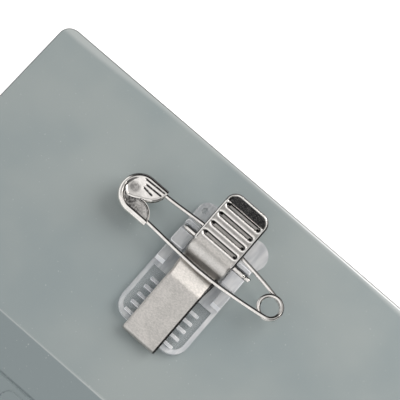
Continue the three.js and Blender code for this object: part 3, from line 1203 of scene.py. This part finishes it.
@dataclass
class JawClip:
    """The metal clip: one pressed sheet with lip, strap, crest, valley, bracket and thumb plate."""

    sheet: float = 0.5
    back: float = 3.0
    strap: float = 3.62
    bracket: float = 3.95
    mouth_y: float = -5.2
    mouth_z: float = 2.1
    lip_drop: float = 0.9
    lip_lean: float = 0.2
    crest_y: float = 6.25
    crest_z: float = 4.4
    valley_y: float = 11.0
    valley_z: float = 3.35
    shoulder_y: float = 12.0
    plate_z: float = 6.85
    plate_start: float = 13.0
    plate_half: float = 4.4
    plate_length: float = 11.43
    plate_corner: float = 2.0
    plate_tilt: float = 7.0
    plate_flat: float = 1.5
    lip_bend: float = 0.4
    crest_bend: float = 2.0
    valley_bend: float = 0.5
    shoulder_bend: float = 2.0
    shoulder_wider: float = 0.15
    edge_radius: float = 0.5
    strap_sweep: float = math.radians(62)
    flange: float = 1.15
    flange_run: tuple = (-0.9, 0.3)
    rim_rise: float = 0.16
    rim_width: float = 0.5
    groove_first: float = 2.45
    groove_pitch: float = 2.06
    groove_count: int = 4
    groove_half: float = 3.75
    groove_width: float = 0.92
    groove_depth: float = 0.42
    bead_rise: float = 0.05
    pit_depth: float = 0.30
    pit_radius: float = 0.24
    dish_start: float = 9.14
    dish_depth: float = 0.42
    columns: int = 145
    plate_step: float = 0.08
    ear_x: float = 3.35
    ear_half: float = 1.35
    ear_bore: float = 0.75
    soften: tuple = (0.05, 60.0)
    axle_y: float = 14.6
    axle_z: float = 4.05
    plate_shade: float = 0.36
    wall_shade: float = 0.95
    floor_shade: float = 0.24
    dish_shade: float = 0.98
    side_shade: float = 0.92
    outline_shade: float = 0.97
    outlines: tuple = (0.32, 0.24, 0.16)
    bracket_shade: tuple = (0.16, 13.35, 0.45)
    bracket_highlight: tuple = (0.3, 12.3, 0.5)
    profile: list[tuple[float, Bend]] = field(default_factory=list)
    near_rows: list[float] = field(default_factory=list)
    plate_rows: list[float] = field(default_factory=list)

    def _bends(self) -> list[Bend]:
        """Gives the corners of the side profile, in the middle of the sheet.

        Returns:
            The corners, from the lip's edge to the thumb plate.
        """
        slope = math.tan(math.radians(self.plate_tilt))
        flat = self.plate_start + self.plate_flat
        return [
            Bend(self.mouth_y - self.lip_lean, self.mouth_z - self.lip_drop, self.strap),
            Bend(self.mouth_y, self.mouth_z, self.strap, self.lip_bend),
            Bend(self.crest_y, self.crest_z, self.strap, self.crest_bend),
            Bend(self.valley_y, self.valley_z, self.bracket, self.valley_bend),
            Bend(self.shoulder_y, self.plate_z, self.bracket + self.shoulder_wider,
                 self.shoulder_bend),
            Bend(flat, self.plate_z + (flat - self.shoulder_y) * slope, self.plate_half),
        ]

    def _round(self, before: Bend, here: Bend, after: Bend) -> list[Bend]:
        """Rounds one corner of the side profile.

        Args:
            before: the corner before it.
            here: the corner.
            after: the corner after it.

        Returns:
            The places on its arc.
        """
        steps = 14
        point = Vector((here.y, here.z))
        back = (Vector((before.y, before.z)) - point).normalized()
        ahead = (Vector((after.y, after.z)) - point).normalized()
        opening = back.angle(ahead)
        centre = point + (back + ahead).normalized() * here.radius / math.sin(opening / 2)
        start = point + back * here.radius / math.tan(opening / 2) - centre
        turn = math.copysign(math.pi - opening, start.x * ahead.y - start.y * ahead.x)
        spokes = [Matrix.Rotation(turn * i / steps, 2) @ start for i in range(steps + 1)]
        return [Bend(centre.x + s.x, centre.y + s.y, here.half) for s in spokes]

    def _side_profile(self) -> list[tuple[float, Bend]]:
        """Follows the side profile and measures along it.

        Returns:
            Each place with its distance from the lip's edge.
        """
        corners = self._bends()
        path = [corners[0]]
        for i in range(1, len(corners) - 1):
            path += self._round(corners[i - 1], corners[i], corners[i + 1])
        path.append(corners[-1])
        run, measured = 0.0, [(0.0, path[0])]
        for a, b in zip(path, path[1:]):
            run += math.hypot(b.y - a.y, b.z - a.z)
            measured.append((run, b))
        return measured

    def _station(self, s: float) -> tuple[Vector, Vector, float]:
        """Finds a place on the side profile.

        Args:
            s: the distance from the lip's edge.

        Returns:
            The place, the way up out of the sheet there, and the sheet's half width.
        """
        for (s0, a), (s1, b) in zip(self.profile, self.profile[1:]):
            if s <= s1 + 1e-9:
                break
        t = (s - s0) / (s1 - s0)
        along = Vector((0, b.y - a.y, b.z - a.z)).normalized()
        place = Vector((0, a.y + (b.y - a.y) * t, self.back + a.z + (b.z - a.z) * t))
        half = a.half + (b.half - a.half) * smoothstep(0, 1, t)
        return place, Vector((0, -along.z, along.y)), half

    def _rows(self) -> tuple[list[float], list[float]]:
        """Spreads the sheet's rows: along the side profile, then along the thumb plate.

        Returns:
            The distances along the profile and the places along the plate.
        """
        finest, widest = 0.12, 0.45
        stops = [s for s, _ in self.profile[:-1]]
        rows = [0.0]
        for a, b in zip(stops, stops[1:]):
            parts = max(1, round((b - a) / (widest if b - a > 3 * finest else finest)))
            rows += [a + (b - a) * (i + 1) / parts for i in range(parts)]
        die = self.die()
        bend_end = self.profile[-2][1].y
        start = (bend_end - self.plate_start) / math.cos(math.radians(self.plate_tilt))
        turn = die.end - die.corner
        count = round((turn - start) / self.plate_step)
        plate = [start + (turn - start) * (i + 1) / count for i in range(count)]
        corner_rows = 52
        plate += [turn + die.blank_corner() * math.sin(math.pi / 2 * (i + 1) / corner_rows)
                  for i in range(corner_rows)]
        return rows, plate

    def die(self) -> Drawn:
        """Gives the die that the thumb plate's edge is drawn over."""
        return Drawn(self.plate_half, self.plate_length, self.plate_corner, self.edge_radius,
                     self.flange)

    def _edge(self, half: float, ahead: float, end: float = FAR) -> Drawn:
        """Gives the die for one row of the sheet.

        Args:
            half: the sheet's half width there.
            ahead: how far the row lies beyond the thumb plate's start.
            end: the far end along the sheet.

        Returns:
            The die, whose edge is only rolled down on the strap and has its full flange on the
            thumb plate.
        """
        share = smoothstep(*self.flange_run, ahead)
        corner = self.plate_corner if end < FAR else self.edge_radius
        return Drawn(half, end, corner, self.edge_radius, self.flange * share,
                     self.strap_sweep + (math.pi / 2 - self.strap_sweep) * share)

    def _grooves(self, x: float, d: float) -> Iterator[tuple[float, float]]:
        """Gives the grooves near a place on the thumb plate.

        Args:
            x: the place across the plate.
            d: the place along it.

        Yields:
            How far it lies outside the groove's edge, and how far from the pit in its end.
        """
        run = self.groove_half - self.groove_width / 2
        for i in range(self.groove_count):
            middle = self.groove_first + i * self.groove_pitch
            off = math.hypot(max(abs(x) - run, 0.0), d - middle) - self.groove_width / 2
            if off < 0.6:
                yield off, math.hypot(abs(x) - run, d - middle + math.copysign(0.12, x))

    def _relief(self, x: float, d: float, inside: float, under: bool) -> float:
        """Gives the relief pressed into the thumb plate.

        Args:
            x: the place across the plate.
            d: the place along it.
            inside: how far the place lies inside the plate's outline.
            under: whether this is the underside, where the relief is blunter.

        Returns:
            The height over the flat plate.
        """
        wall = 0.2 if under else 0.0
        height = self.rim_rise * (
            1 - smoothstep(self.rim_width - 0.22, self.rim_width + 0.06, inside))
        for off, pit in self._grooves(x, d):
            height -= self.groove_depth * (1 - smoothstep(-0.22, 0.0, off - wall))
            height -= self.pit_depth * (1 - smoothstep(0.06, self.pit_radius, pit - wall / 2))
            if not under:
                height += self.bead_rise * hump(off, 0.14, 0.14)
        if d > self.dish_start:
            far = self.plate_length - 0.5
            t = min((d - self.dish_start) / (far - self.dish_start), 1.0)
            bowl = self.dish_depth * (1 - 1.3 * t ** 1.8) * smoothstep(0.0, 0.12, t)
            height -= bowl * smoothstep(0.42, 0.68, inside)
        return height

    def _plate_shade_and_highlights(self, x: float, d: float, edge: float) -> tuple[float, float]:
        """Gives the painted shade and painted highlights of the thumb plate's upper side.

        Args:
            x: the place across the plate.
            d: the place along it.
            edge: how far the place lies inside the plate's outline.

        Returns:
            How much painted shade it gets there, and how much painted highlight.
        """
        # Painted shade: a little over the plate, more on the groove walls and floors, and nearly
        # black in the pits and the far dish.
        painted_shade, polish_and_highlight = self.plate_shade * smoothstep(1.2, 1.8, d), 0.0
        for off, pit in self._grooves(x, d):
            wall = smoothstep(-0.28, -0.20, off) * smoothstep(0.02, -0.06, off)
            painted_shade = max(painted_shade, self.wall_shade * wall, self.floor_shade * smoothstep(-0.1, -0.2, off),
                       1 - smoothstep(0.20, 0.34, pit))
            # Painted highlight: a bright loop along each groove's lip; the plate's rim is painted
            # bright as well.
            loop = 1 - smoothstep(0.12, 0.22, abs(off - 0.15))
            painted_shade *= 1 - loop
            polish_and_highlight = max(polish_and_highlight, loop)
        dish = smoothstep(self.dish_start, self.dish_start + 0.15, d)
        painted_shade = max(painted_shade * smoothstep(0.5, 0.6, edge),
                   self.dish_shade * dish * smoothstep(0.46, 0.6, edge))
        return painted_shade, max(polish_and_highlight, 1 - smoothstep(0.44, 0.56, edge))

    def _mark_painted_shade_and_highlights(self, clip: Piece) -> None:
        """Marks painted shade in the recesses, along the outlines and on the strap's edge, and
        painted highlights on the lips and rims.

        Args:
            clip: the clip, in millimetres, which gets the values as two attributes.
        """
        origin, along, up = self._plate_frame()
        side, end, other = self.outlines
        painted_shades, polish_and_highlights = [], []
        for vertex in clip.data.vertices:
            place = vertex.co - origin
            x, d, height = place.x, place.dot(along), place.dot(up)
            painted_shade = polish_and_highlight = 0.0
            edge = self._inside(x, d)
            if d > 0.5 and height > -self.sheet:
                painted_shade, polish_and_highlight = self._plate_shade_and_highlights(x, d, edge)
            # Painted shade: a dark line along the strap's right-hand edge.
            elif x > self.strap - 0.36 and vertex.co.y < self.valley_y:
                painted_shade = self.side_shade
            # Painted shade and painted highlight: a grey band and a bright band across the bracket.
            elif d < 0.5 and vertex.co.y > self.valley_y:
                painted_shade, polish_and_highlight = (share * hump(vertex.co.y, middle, width) for share, middle, width in
                              (self.bracket_shade, self.bracket_highlight))
            # Painted shade: dark outlines round the thumb plate and the strap.
            if d > -0.3:
                outline = side if x > 3.4 else end if d > 9 else other
                line = 1 - smoothstep(outline - 0.05, outline, edge)
                painted_shade = max(painted_shade, self.outline_shade * line)
            painted_shades.append(painted_shade)
            polish_and_highlights.append(polish_and_highlight * (1 - painted_shade))
        for name, values in (("painted_shade", painted_shades), ("polish_and_highlight", polish_and_highlights)):
            clip.data.attributes.new(name, "FLOAT", "POINT").data.foreach_set("value", values)

    def _inside(self, x: float, d: float) -> float:
        """How far a place lies inside the thumb plate's outline, seen square on.

        Args:
            x: the place across the plate.
            d: the place along it.

        Returns:
            The distance, which is less than 0 outside.
        """
        dx = abs(x) - (self.plate_half - self.plate_corner)
        dy = d - (self.plate_length - self.plate_corner)
        if dx > 0 and dy > 0:
            return self.plate_corner - math.hypot(dx, dy)
        return self.plate_corner - max(dx, dy)

    def _plate_frame(self) -> tuple[Vector, Vector, Vector]:
        """Places the thumb plate.

        Returns:
            Its start, its way along and its way up.
        """
        tilt = math.radians(self.plate_tilt)
        origin = Vector((0, self.plate_start, self.back + self.plate_z + (
            self.plate_start - self.shoulder_y) * math.tan(tilt)))
        return (origin, Vector((0, math.cos(tilt), math.sin(tilt))),
                Vector((0, -math.sin(tilt), math.cos(tilt))))

    def _place(self, row: int, column: int, under: bool) -> Vector:
        """Gives a point of the pressed sheet.

        Args:
            row: its row.
            column: its column.
            under: whether it lies on the underside.

        Returns:
            The point.
        """
        even = 2 * column / (self.columns - 1) - 1
        share = even * (1.2 - 0.2 * even ** 2)
        top = self.sheet / 2
        if row < len(self.near_rows):
            s = self.near_rows[row]
            origin, up, half = self._station(s)
            along = Vector((0, up.z, -up.y))
            die = self._edge(half, s - self.near_rows[-1])
            x, _, down, normal, inside = die.draw(share * die.width_at(0), 0)
            d = 0.0
        else:
            origin, along, up = self._plate_frame()
            d = self.plate_rows[row - len(self.near_rows)]
            ahead = d - self.plate_rows[0]
            start_half = self.profile[-2][1].half
            half = start_half + (self.plate_half - start_half) * smoothstep(-0.1, 0.5, ahead)
            die = self._edge(half, ahead, self.plate_length)
            x, d, down, normal, inside = die.draw(share * die.width_at(d), d)
        out = Vector((normal.x, 0, 0)) + along * normal.y + up * normal.z
        place = origin + Vector((x, 0, 0)) + along * d + up * (top - down)
        if under:
            place -= out * self.sheet
        if row < len(self.near_rows):
            return place
        rise = self._relief(x, d, inside, under) * smoothstep(0.0, 0.5, ahead)
        return place + up * rise * normal.z

    def _ears(self) -> list[Piece]:
        """Models one ear that hangs on the axle and mirrors it.

        Returns:
            The two ears.
        """
        top = self.back + self.plate_z + (self.axle_y - self.shoulder_y) * math.tan(
            math.radians(self.plate_tilt))
        low = self.back + self.axle_z - self.ear_bore - self.sheet
        ear = Bench.block("ear", (self.ear_x, self.axle_y - self.ear_half, low),
                          (self.ear_x + self.sheet, self.axle_y + self.ear_half, top))
        Bench.bevel(ear, lambda e: abs(e.verts[0].co.x - e.verts[1].co.x) > TINY
                    and e.verts[0].co.z < low + HAIR, self.ear_half * 0.9, 8)
        bore = Bench.bar("ear_bore", (0, self.axle_y, self.back + self.axle_z), 9, self.ear_bore)
        Bench.combine(ear, Join.CUT, bore)
        return [ear, Bench.mirrored(ear)]

    def build(self) -> None:
        """Builds the clip."""
        self.profile = self._side_profile()
        self.near_rows, self.plate_rows = self._rows()
        rows = len(self.near_rows) + len(self.plate_rows)
        clip = Bench.two_sided("jaw_clip", rows, self.columns,
                               lambda r, c: self._place(r, c, False),
                               lambda r, c: self._place(r, c, True))
        Bench.combine(clip, Join.ADD, *self._ears())
        width, angle = self.soften
        Bench.modify(clip, "BEVEL", width=width, segments=2, limit_method="ANGLE",
                     angle_limit=math.radians(angle))
        self._mark_painted_shade_and_highlights(clip)
        Bench.finish(clip, CLIP, "clip_metal", SheetNickel().material(), "clip_lever", angle=50,
                     weighted=False)


@dataclass
class SafetyPin:
    """The safety pin: one wire with a coil, and the folded cap that holds both its ends."""

    back: float = 3.0
    wire: float = 0.8
    coil_x: float = 13.55
    coil_y: float = 13.35
    coil_radius: float = 2.05
    coil_pitch: float = 0.99
    level: float = 3.85
    crossing_level: float = 4.52
    arm_slope: float = 7.0
    back_slope: float = 11.0
    arm_sag: float = 10.1
    back_bow: float = 17.15
    cap_end: float = -20.2
    cap_length: float = 8.0
    cap_y: float = 13.55
    cap_half: float = 3.85
    cap_sheet: float = 0.3
    cap_gap: float = 0.25
    arm_lean: float = 0.25
    fold: float = 0.95
    arm_tip: float = 2.6
    back_end: float = 3.4
    sides: int = 20
    wire_dark_side: tuple = (-0.02, 0.14)
    flap_edge: tuple = (
        (-12.2, 17.2), (-12.6, 16.78), (-12.76, 15.88), (-13.26, 14.9), (-13.94, 14.02),
        (-15.0, 13.34), (-15.91, 12.95), (-16.88, 12.4), (-17.83, 12.08), (-18.65, 12.42),
        (-19.28, 13.14), (-19.68, 13.96), (-20.6, 15.4), (-20.6, 18.4), (-12.2, 18.4))
    crimps: tuple = (
        ((-17.2, 16.3), (-13.2, 16.45)), ((-16.5, 15.6), (-13.4, 15.7)),
        ((-16.5, 14.95), (-14.7, 14.75)))
    dimple: tuple = (-17.9, 14.0, 1.2)
    dimple_depth: float = 0.10
    cup_depth: float = 0.50
    cup_lean: float = 0.02
    cup_y: float = 12.0
    flap_y: float = 16.6
    flap_lean: float = 0.12
    flap_run: float = 3.6
    flap_drop: float = 0.08
    flap_bead: float = 0.06
    crimp_depth: float = 0.17
    crimp_shade: float = 0.95
    seam_shade: float = 0.9
    dimple_shade: float = 0.5
    guard_shade: tuple = (0.34, 0.42)
    guard: tuple = (-15.1, 10.0, 3.07)
    flap: tuple = (-16.2, 16.6, 3.5)
    notch_start: float = -15.4

    def _route(self) -> list[Vector]:
        """Lays out the wire.

        Returns:
            The points that it runs through, from the arm's tip to the backbone's end.
        """
        slack = self.cap_half - self.cap_sheet - self.cap_gap - self.wire / 2
        mouth = self.cap_end + self.cap_length
        start = math.radians(self.arm_slope - 90)
        stop = math.radians(450 - self.back_slope)
        top = self.level + self.coil_pitch * (stop - start) / math.tau

        def on_coil(angle: float) -> Vector:
            """Gives a point of the coil."""
            return Vector((self.coil_x + self.coil_radius * math.cos(angle),
                           self.coil_y + self.coil_radius * math.sin(angle),
                           top - self.coil_pitch * (angle - start) / math.tau))

        arm_end, back_start = on_coil(start), on_coil(stop)
        run = arm_end.x / 2
        back_run = back_start.x / 3
        turns = 28
        return [
            Vector((self.cap_end + self.arm_tip, self.cap_y - slack + self.arm_lean, self.level)),
            Vector((mouth, self.cap_y - slack + self.arm_lean / 2, self.level)),
            Vector((0, self.arm_sag, self.crossing_level)),
            Vector((arm_end.x - run, arm_end.y - run * math.tan(math.radians(self.arm_slope)),
                    (self.crossing_level + top) / 2)),
            *[on_coil(start + (stop - start) * i / turns) for i in range(turns + 1)],
            Vector((back_start.x - back_run,
                    back_start.y + back_run * math.tan(math.radians(self.back_slope)), self.level)),
            Vector((0, self.back_bow, self.level)),
            Vector((mouth, self.cap_y + slack, self.level)),
            Vector((self.cap_end + self.back_end, self.cap_y + slack, self.level)),
        ]

    @staticmethod
    def _through(points: Sequence[Vector], step: float) -> list[Vector]:
        """Runs a smooth line through points, with knots spaced by the root of their distance.

        Args:
            points: the points.
            step: how far apart the line's own points are.

        Returns:
            The line's points.
        """
        ends = [points[0] * 2 - points[1], *points, points[-1] * 2 - points[-2]]
        line = [points[0]]
        for p0, p1, p2, p3 in zip(ends, ends[1:], ends[2:], ends[3:]):
            t0 = 0.0
            t1 = t0 + math.sqrt((p1 - p0).length)
            t2 = t1 + math.sqrt((p2 - p1).length)
            t3 = t2 + math.sqrt((p3 - p2).length)
            count = max(2, round((p2 - p1).length / step))
            for i in range(1, count + 1):
                t = t1 + (t2 - t1) * i / count
                a1 = p0.lerp(p1, (t - t0) / (t1 - t0))
                a2 = p1.lerp(p2, (t - t1) / (t2 - t1))
                a3 = p2.lerp(p3, (t - t2) / (t3 - t2))
                b1 = a1.lerp(a2, (t - t0) / (t2 - t0))
                b2 = a2.lerp(a3, (t - t1) / (t3 - t1))
                line.append(b1.lerp(b2, (t - t1) / (t2 - t1)))
        return line

    def build_wire(self) -> None:
        """Builds the wire as a swept round section."""
        line = self._through(self._route(), 0.3)
        curve = bpy.data.curves.new("pin_line", "CURVE")
        curve.dimensions = "3D"
        spline = curve.splines.new("POLY")
        spline.points.add(len(line) - 1)
        for point, place in zip(spline.points, line):
            point.co = (place.x, place.y, self.back + place.z, 1)
        curve.bevel_depth = self.wire / 2
        curve.bevel_resolution = self.sides // 4 - 1
        curve.use_fill_caps = True
        wire = bpy.data.objects.new("pin_line", curve)
        bpy.context.scene.collection.objects.link(wire)
        Bench.take(wire)
        bpy.ops.object.convert(target="MESH")
        wire = bpy.context.active_object
        wire.name = wire.data.name = "pin_line"
        # The wire's finish paints a dark reflection along its side facing +Y.
        drawn = BrightNickel("wire_nickel", dark_side=self.wire_dark_side)
        Bench.finish(wire, CLIP, "bright_metal", drawn.material(), "pin_wire", angle=60,
                     weighted=False)

    def _off_flap(self, p: Vector) -> float:
        """Gives how far a place lies outside the flap, and less than 0 on it.

        Args:
            p: the place.

        Returns:
            The signed distance.
        """
        edge = [Vector(q) for q in self.flap_edge]
        inside = False
        for a, b in zip(edge, edge[1:] + edge[:1]):
            if (a.y > p.y) != (b.y > p.y) and p.x < a.x + (p.y - a.y) * (b.x - a.x) / (b.y - a.y):
                inside = not inside
        away = min(to_segment(p, a, b) for a, b in zip(edge, edge[1:]))
        return -away if inside else away

    def _cap_relief(self, x: float, y: float, inside: float) -> float:
        """Gives the relief of the cap's top: the flap over the guard, its dimple and crimps.

        Args:
            x: the place along X.
            y: the place along Y.
            inside: how far it lies inside the outline.

        Returns:
            The height over the cap's flat top.
        """
        p = Vector((x, y))
        off = self._off_flap(p)
        beyond = smoothstep(-0.07, 0.09, off)
        cup = smoothstep(0.75, 1.15, inside) * beyond
        lift = 0.85 * hump(self._to_free_edge(p), 0.0, 0.2)
        height = (-self.cup_depth + self.cup_lean * (y - self.cup_y)) * cup * (1 - lift)
        deep = smoothstep(0.6, 1.2, inside) * (1 - beyond)
        lean = self.flap_lean * self.flap_run * math.tanh((self.flap_y - y) / self.flap_run)
        height -= (self.flap_drop + max(lean, 0.0)) * deep
        if off < 0.3:
            height += self.flap_bead * hump(off, -0.16, 0.1) * smoothstep(0.6, 1.2, inside)
            dx, dy, radius = self.dimple
            away = math.hypot(x - dx, y - dy)
            share = (1 - smoothstep(0.45 * radius, radius, away)) * deep
            height += share * (0.6 * self.flap_lean * (dy - y) - self.dimple_depth)
            height -= (self.crimp_depth * (1 - smoothstep(0.0, 0.2, self._to_crimp(p)))
                       * smoothstep(0.2, 0.6, inside))
        return height

    def _to_crimp(self, p: Vector) -> float:
        """Gives how far a place lies from the nearest crimp."""
        return min(to_segment(p, Vector(a), Vector(b)) for a, b in self.crimps)

    def _to_free_edge(self, p: Vector) -> float:
        """Gives how far a place lies from the guard's free edge, and much more beside it.

        Args:
            p: the place.

        Returns:
            The distance inside the edge.
        """
        x, y, radius = self.guard
        start = self.notch_start - 0.3
        return radius - math.hypot(p.x - x, p.y - y) + 3 * max(start - p.x, 0.0)

    def _cap_painted_shade(self, x: float, y: float, inside: float) -> float:
        """Gives how much painted shade the cap's upper side gets, in its crimps, seams, dimple and
        guard.

        Args:
            x: the place along X.
            y: the place along Y.
            inside: how far it lies inside the outline.

        Returns:
            The painted shade, from 0 to 1.
        """
        p = Vector((x, y))
        off, rim = self._off_flap(p), self._to_free_edge(p)
        beyond = smoothstep(-0.02, 0.07, off)
        seam = beyond * max(1 - smoothstep(0.2, 0.6, off), hump(rim, 0.36, 0.12))
        crimp = 1 - smoothstep(0.09, 0.2, self._to_crimp(p))
        dx, dy, radius = self.dimple
        bowl = 1 - smoothstep(0.5 * radius, radius, math.hypot(x - dx, y - dy))
        least, more = self.guard_shade
        guard = (least + more * smoothstep(0.6, 2.4, rim)) * beyond
        # Painted shade: dark in the crimps and under the flap's edge, grey in the dimple and on the
        # guard, lightest by the guard's free edge.
        creases = max(self.crimp_shade * crimp, self.seam_shade * seam)
        painted_shade = max(creases * smoothstep(0.6, 0.85, inside), self.dimple_shade * bowl,
                   guard * smoothstep(0.85, 1.15, inside))
        return painted_shade * (1 - beyond * (1 - smoothstep(0.14, 0.24, rim)))

    def _mark_cap_painted_shade(self, cap: Piece) -> None:
        """Marks where painted shade darkens the cap's plating.

        Args:
            cap: the cap, in millimetres, which gets the values as an attribute.
        """
        painted_shades = []
        for vertex in cap.data.vertices:
            x, y, z = vertex.co
            inside = self._inside(x, y)
            top = z > self.back + self.level + 0.1 and inside > 0.5
            painted_shades.append(self._cap_painted_shade(x, y, inside) if top else 0.0)
        cap.data.attributes.new("painted_shade", "FLOAT", "POINT").data.foreach_set("value", painted_shades)

    def _cap_place(self, row: int, column: int, rows: int, columns: int, side: int) -> Vector:
        """Gives a point of the cap's upper or lower half.

        Args:
            row: its row, from the mouth to the round end.
            column: its column, across the cap.
            rows: how many rows there are.
            columns: how many columns there are.
            side: 1 on the upper half, -1 on the lower half.

        Returns:
            The point.
        """
        die = Drawn(self.cap_half, self.cap_length, self.cap_half, self.fold)
        straight = die.end - die.corner
        straight_rows = rows // 3
        if row <= straight_rows:
            d = straight * row / straight_rows
        else:
            turn = math.pi / 2 * (row - straight_rows) / (rows - 1 - straight_rows)
            d = straight + die.blank_corner() * math.sin(turn)
        x = (2 * column / (columns - 1) - 1) * die.width_at(d)
        x, d, down, _, _ = die.draw(x, d)
        return Vector((self.cap_end + self.cap_length - d, self.cap_y - x,
                       self.back + self.level + side * (self.fold - down)))

    def _inside(self, x: float, y: float) -> float:
        """Gives how far a place lies inside the cap's outline."""
        along = max(self.cap_end + self.cap_half - x, 0.0)
        return self.cap_half - math.hypot(along, self.cap_y - y)

    def _press(self, cap: Piece) -> None:
        """Presses the relief into the cap's upper side.

        Args:
            cap: the cap with its notch, in millimetres.
        """
        for vertex in cap.data.vertices:
            x, y, z = vertex.co
            if z > self.back + self.level + 0.02:
                inside = self._inside(x, y)
                lean = min(max((self.fold - inside) / self.fold, 0.0), 1.0)
                vertex.co.z += self._cap_relief(x, y, inside) * math.sqrt(1 - lean * lean)

    def build_cap(self) -> None:
        """Builds the folded cap, with the notch between its guard and its flap."""
        rows, columns = 122, 121
        cap = Bench.blank("pin_cap_fold", rows, columns,
                          lambda r, c: self._cap_place(r, c, rows, columns, 1))
        lower = Bench.blank("cap_lower", rows, columns,
                            lambda r, c: self._cap_place(r, c, rows, columns, -1))
        Bench.take(cap, lower)
        bpy.ops.object.join()
        Bench.face_out(cap, TINY / 10)
        Bench.modify(cap, "SOLIDIFY", thickness=self.cap_sheet, offset=-1, use_even_offset=False)
        low, high = self.back + 1, self.back + 7
        notch = Bench.block("notch", (self.notch_start, self.cap_y - 6, low),
                            (self.cap_end + self.cap_length + 2, self.cap_y + 6, high))
        gx, gy, gr = self.guard
        fx, fy, fr = self.flap
        Bench.combine(notch, Join.CUT, Bench.boss("guard", (gx, gy, low - 1), gr, high + 1, 128),
                      Bench.boss("flap", (fx, fy, low - 1), fr, high + 1, 128))
        Bench.combine(cap, Join.CUT, notch)
        self._press(cap)
        self._mark_cap_painted_shade(cap)
        Bench.finish(cap, CLIP, "bright_metal", BrightNickel().material(), "pin_cap", angle=50,
                     weighted=False)

    def build(self) -> None:
        """Builds the safety pin."""
        self.build_wire()
        self.build_cap()


@dataclass
class Studio:
    """The pale floor, the room around it, the key light and the camera."""

    azimuth: float = 11.56
    elevation: float = 75.83
    roll: float = 29.57
    distance: float = 266.2
    lens: float = 135.0
    sensor: float = 36.0
    target: tuple = (-8.035, 20.86, 3.0)
    key_from: tuple = (0.54, 0.85, 0.78)
    key_power: float = 2.6
    key_size: float = 0.5
    key_distance: float = 0.55
    key_colour: tuple = (1.0, 0.97, 0.94)
    floor_size: float = 6.0
    floor_gap: float = 0.0002
    floor_tone: float = 0.62
    floor_glow: float = 0.80
    room_level: float = 0.15
    shade_level: float = 0.10
    panel_level: float = 0.54
    panel_front: float = 0.42
    core_level: float = 0.55
    glow_level: float = 0.6
    horizon_level: float = 0.04
    window_level: float = 1.3

    def build_camera(self) -> None:
        """Places the camera at the photograph's angle."""
        a, e = math.radians(self.azimuth), math.radians(self.elevation)
        back = Vector((math.sin(a) * math.cos(e), -math.cos(a) * math.cos(e), math.sin(e)))
        right = Vector((math.cos(a), math.sin(a), 0))
        up = back.cross(right)
        turn = Matrix.Rotation(math.radians(self.roll), 3, back)
        axes = Matrix((turn @ right, turn @ up, back)).transposed()
        data = bpy.data.cameras.new("portrait")
        data.lens = self.lens
        data.sensor_width = self.sensor
        data.clip_start = 0.01
        camera = bpy.data.objects.new("portrait", data)
        camera.matrix_world = (Matrix.Translation((Vector(self.target) + back * self.distance) * MM)
                               @ axes.to_4x4())
        bpy.context.scene.collection.objects.link(camera)
        bpy.context.scene.camera = camera

    def build_floor(self) -> None:
        """Lays the pale floor that the badge lies on."""
        Bench.clear()
        bpy.ops.mesh.primitive_plane_add(size=self.floor_size, location=(0, 0, -self.floor_gap))
        floor = bpy.context.active_object
        floor.name = "floor"
        material = bpy.data.materials.new("floor")
        material.use_nodes = True
        graph = Graph(material.node_tree)
        shader = graph.node("ShaderNodeBsdfPrincipled", None, {
            "Base Color": (*[self.floor_tone] * 3, 1), "Roughness": 0.8,
            "Emission Color": (1, 1, 1, 1), "Emission Strength": self.floor_glow})
        graph.node("ShaderNodeOutputMaterial", None, {"Surface": shader})
        floor.data.materials.append(material)

    def build_key(self) -> None:
        """Hangs the soft key light."""
        data = bpy.data.lights.new("key", "AREA")
        data.shape = "DISK"
        data.size = self.key_size
        data.energy = self.key_power
        data.color = self.key_colour
        light = bpy.data.objects.new("key", data)
        way = Vector(self.key_from).normalized()
        light.location = way * self.key_distance
        light.rotation_mode = "QUATERNION"
        light.rotation_quaternion = way.to_track_quat("Z", "Y")
        bpy.context.scene.collection.objects.link(light)

    def build_world(self) -> None:
        """Sets the room that the metal mirrors: a soft panel overhead and a window low down."""
        world = bpy.data.worlds.new("room")
        world.use_nodes = True
        bpy.context.scene.world = world
        graph = Graph(world.node_tree)
        way = graph.node("ShaderNodeTexCoord", output="Generated")

        def toward(direction: Sequence[float]) -> Socket:
            """Gives how far the way looked points along a direction."""
            return graph.node("ShaderNodeVectorMath", {"operation": "DOT_PRODUCT"},
                              {0: way, 1: Vector(direction).normalized()}, "Value")

        def patch(direction: Sequence[float], outer: float, inner: float) -> Socket:
            """Gives a soft round patch, by the degrees to its outer edge and to its full light."""
            return toward(direction).between(math.cos(math.radians(outer)),
                                             math.cos(math.radians(inner)))

        across, along = toward((1, 0, 0)), toward((0, -1, 0))
        panel = (along.between(-0.50, -0.26) * (1 - along.between(0.80, 0.95))
                 * (1 - across.between(0.35, 0.6)) * across.between(-0.85, -0.6))
        overhead = math.radians(9)
        core = patch((0, -math.sin(overhead), math.cos(overhead)), 18, 8)
        glow = patch((-0.1, 0.63, 0.777), 24, 8)
        away = (along * -1.0).between(0.25, 0.6)
        low = 1 - toward((0, 0, 1)).between(0.2, 0.62)
        near = toward((-0.6, -0.8, 0)).between(-0.3, 0.5)
        overhead_level = (self.room_level - self.shade_level * away
                          + (self.panel_level + self.panel_front * along.between(0.2, 0.5)) * panel
                          + self.core_level * core + self.glow_level * glow)
        horizon_level = self.horizon_level + self.window_level * near
        level = low * horizon_level + (1 - low) * overhead_level
        colour = graph.blend(level, (0, 0, 0, 1), (1.0, 0.995, 0.99, 1))
        shader = graph.node("ShaderNodeBackground", None, {"Color": colour, "Strength": 1.0})
        graph.node("ShaderNodeOutputWorld", None, {"Surface": shader})

    def build(self) -> None:
        """Builds the studio."""
        self.build_camera()
        self.build_floor()
        self.build_world()
        self.build_key()
        view = bpy.context.scene.view_settings
        view.view_transform = "Standard"
        view.look = "None"


def main() -> None:
    """Builds the studio and the badge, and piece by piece."""
    logging.basicConfig(level=logging.INFO, format="%(name)s: %(message)s")
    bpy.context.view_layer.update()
    Studio().build()
    for part in (Holder(), ClipBase(), JawClip(), SafetyPin()):
        part.build()


if __name__ == "__main__":
    main()
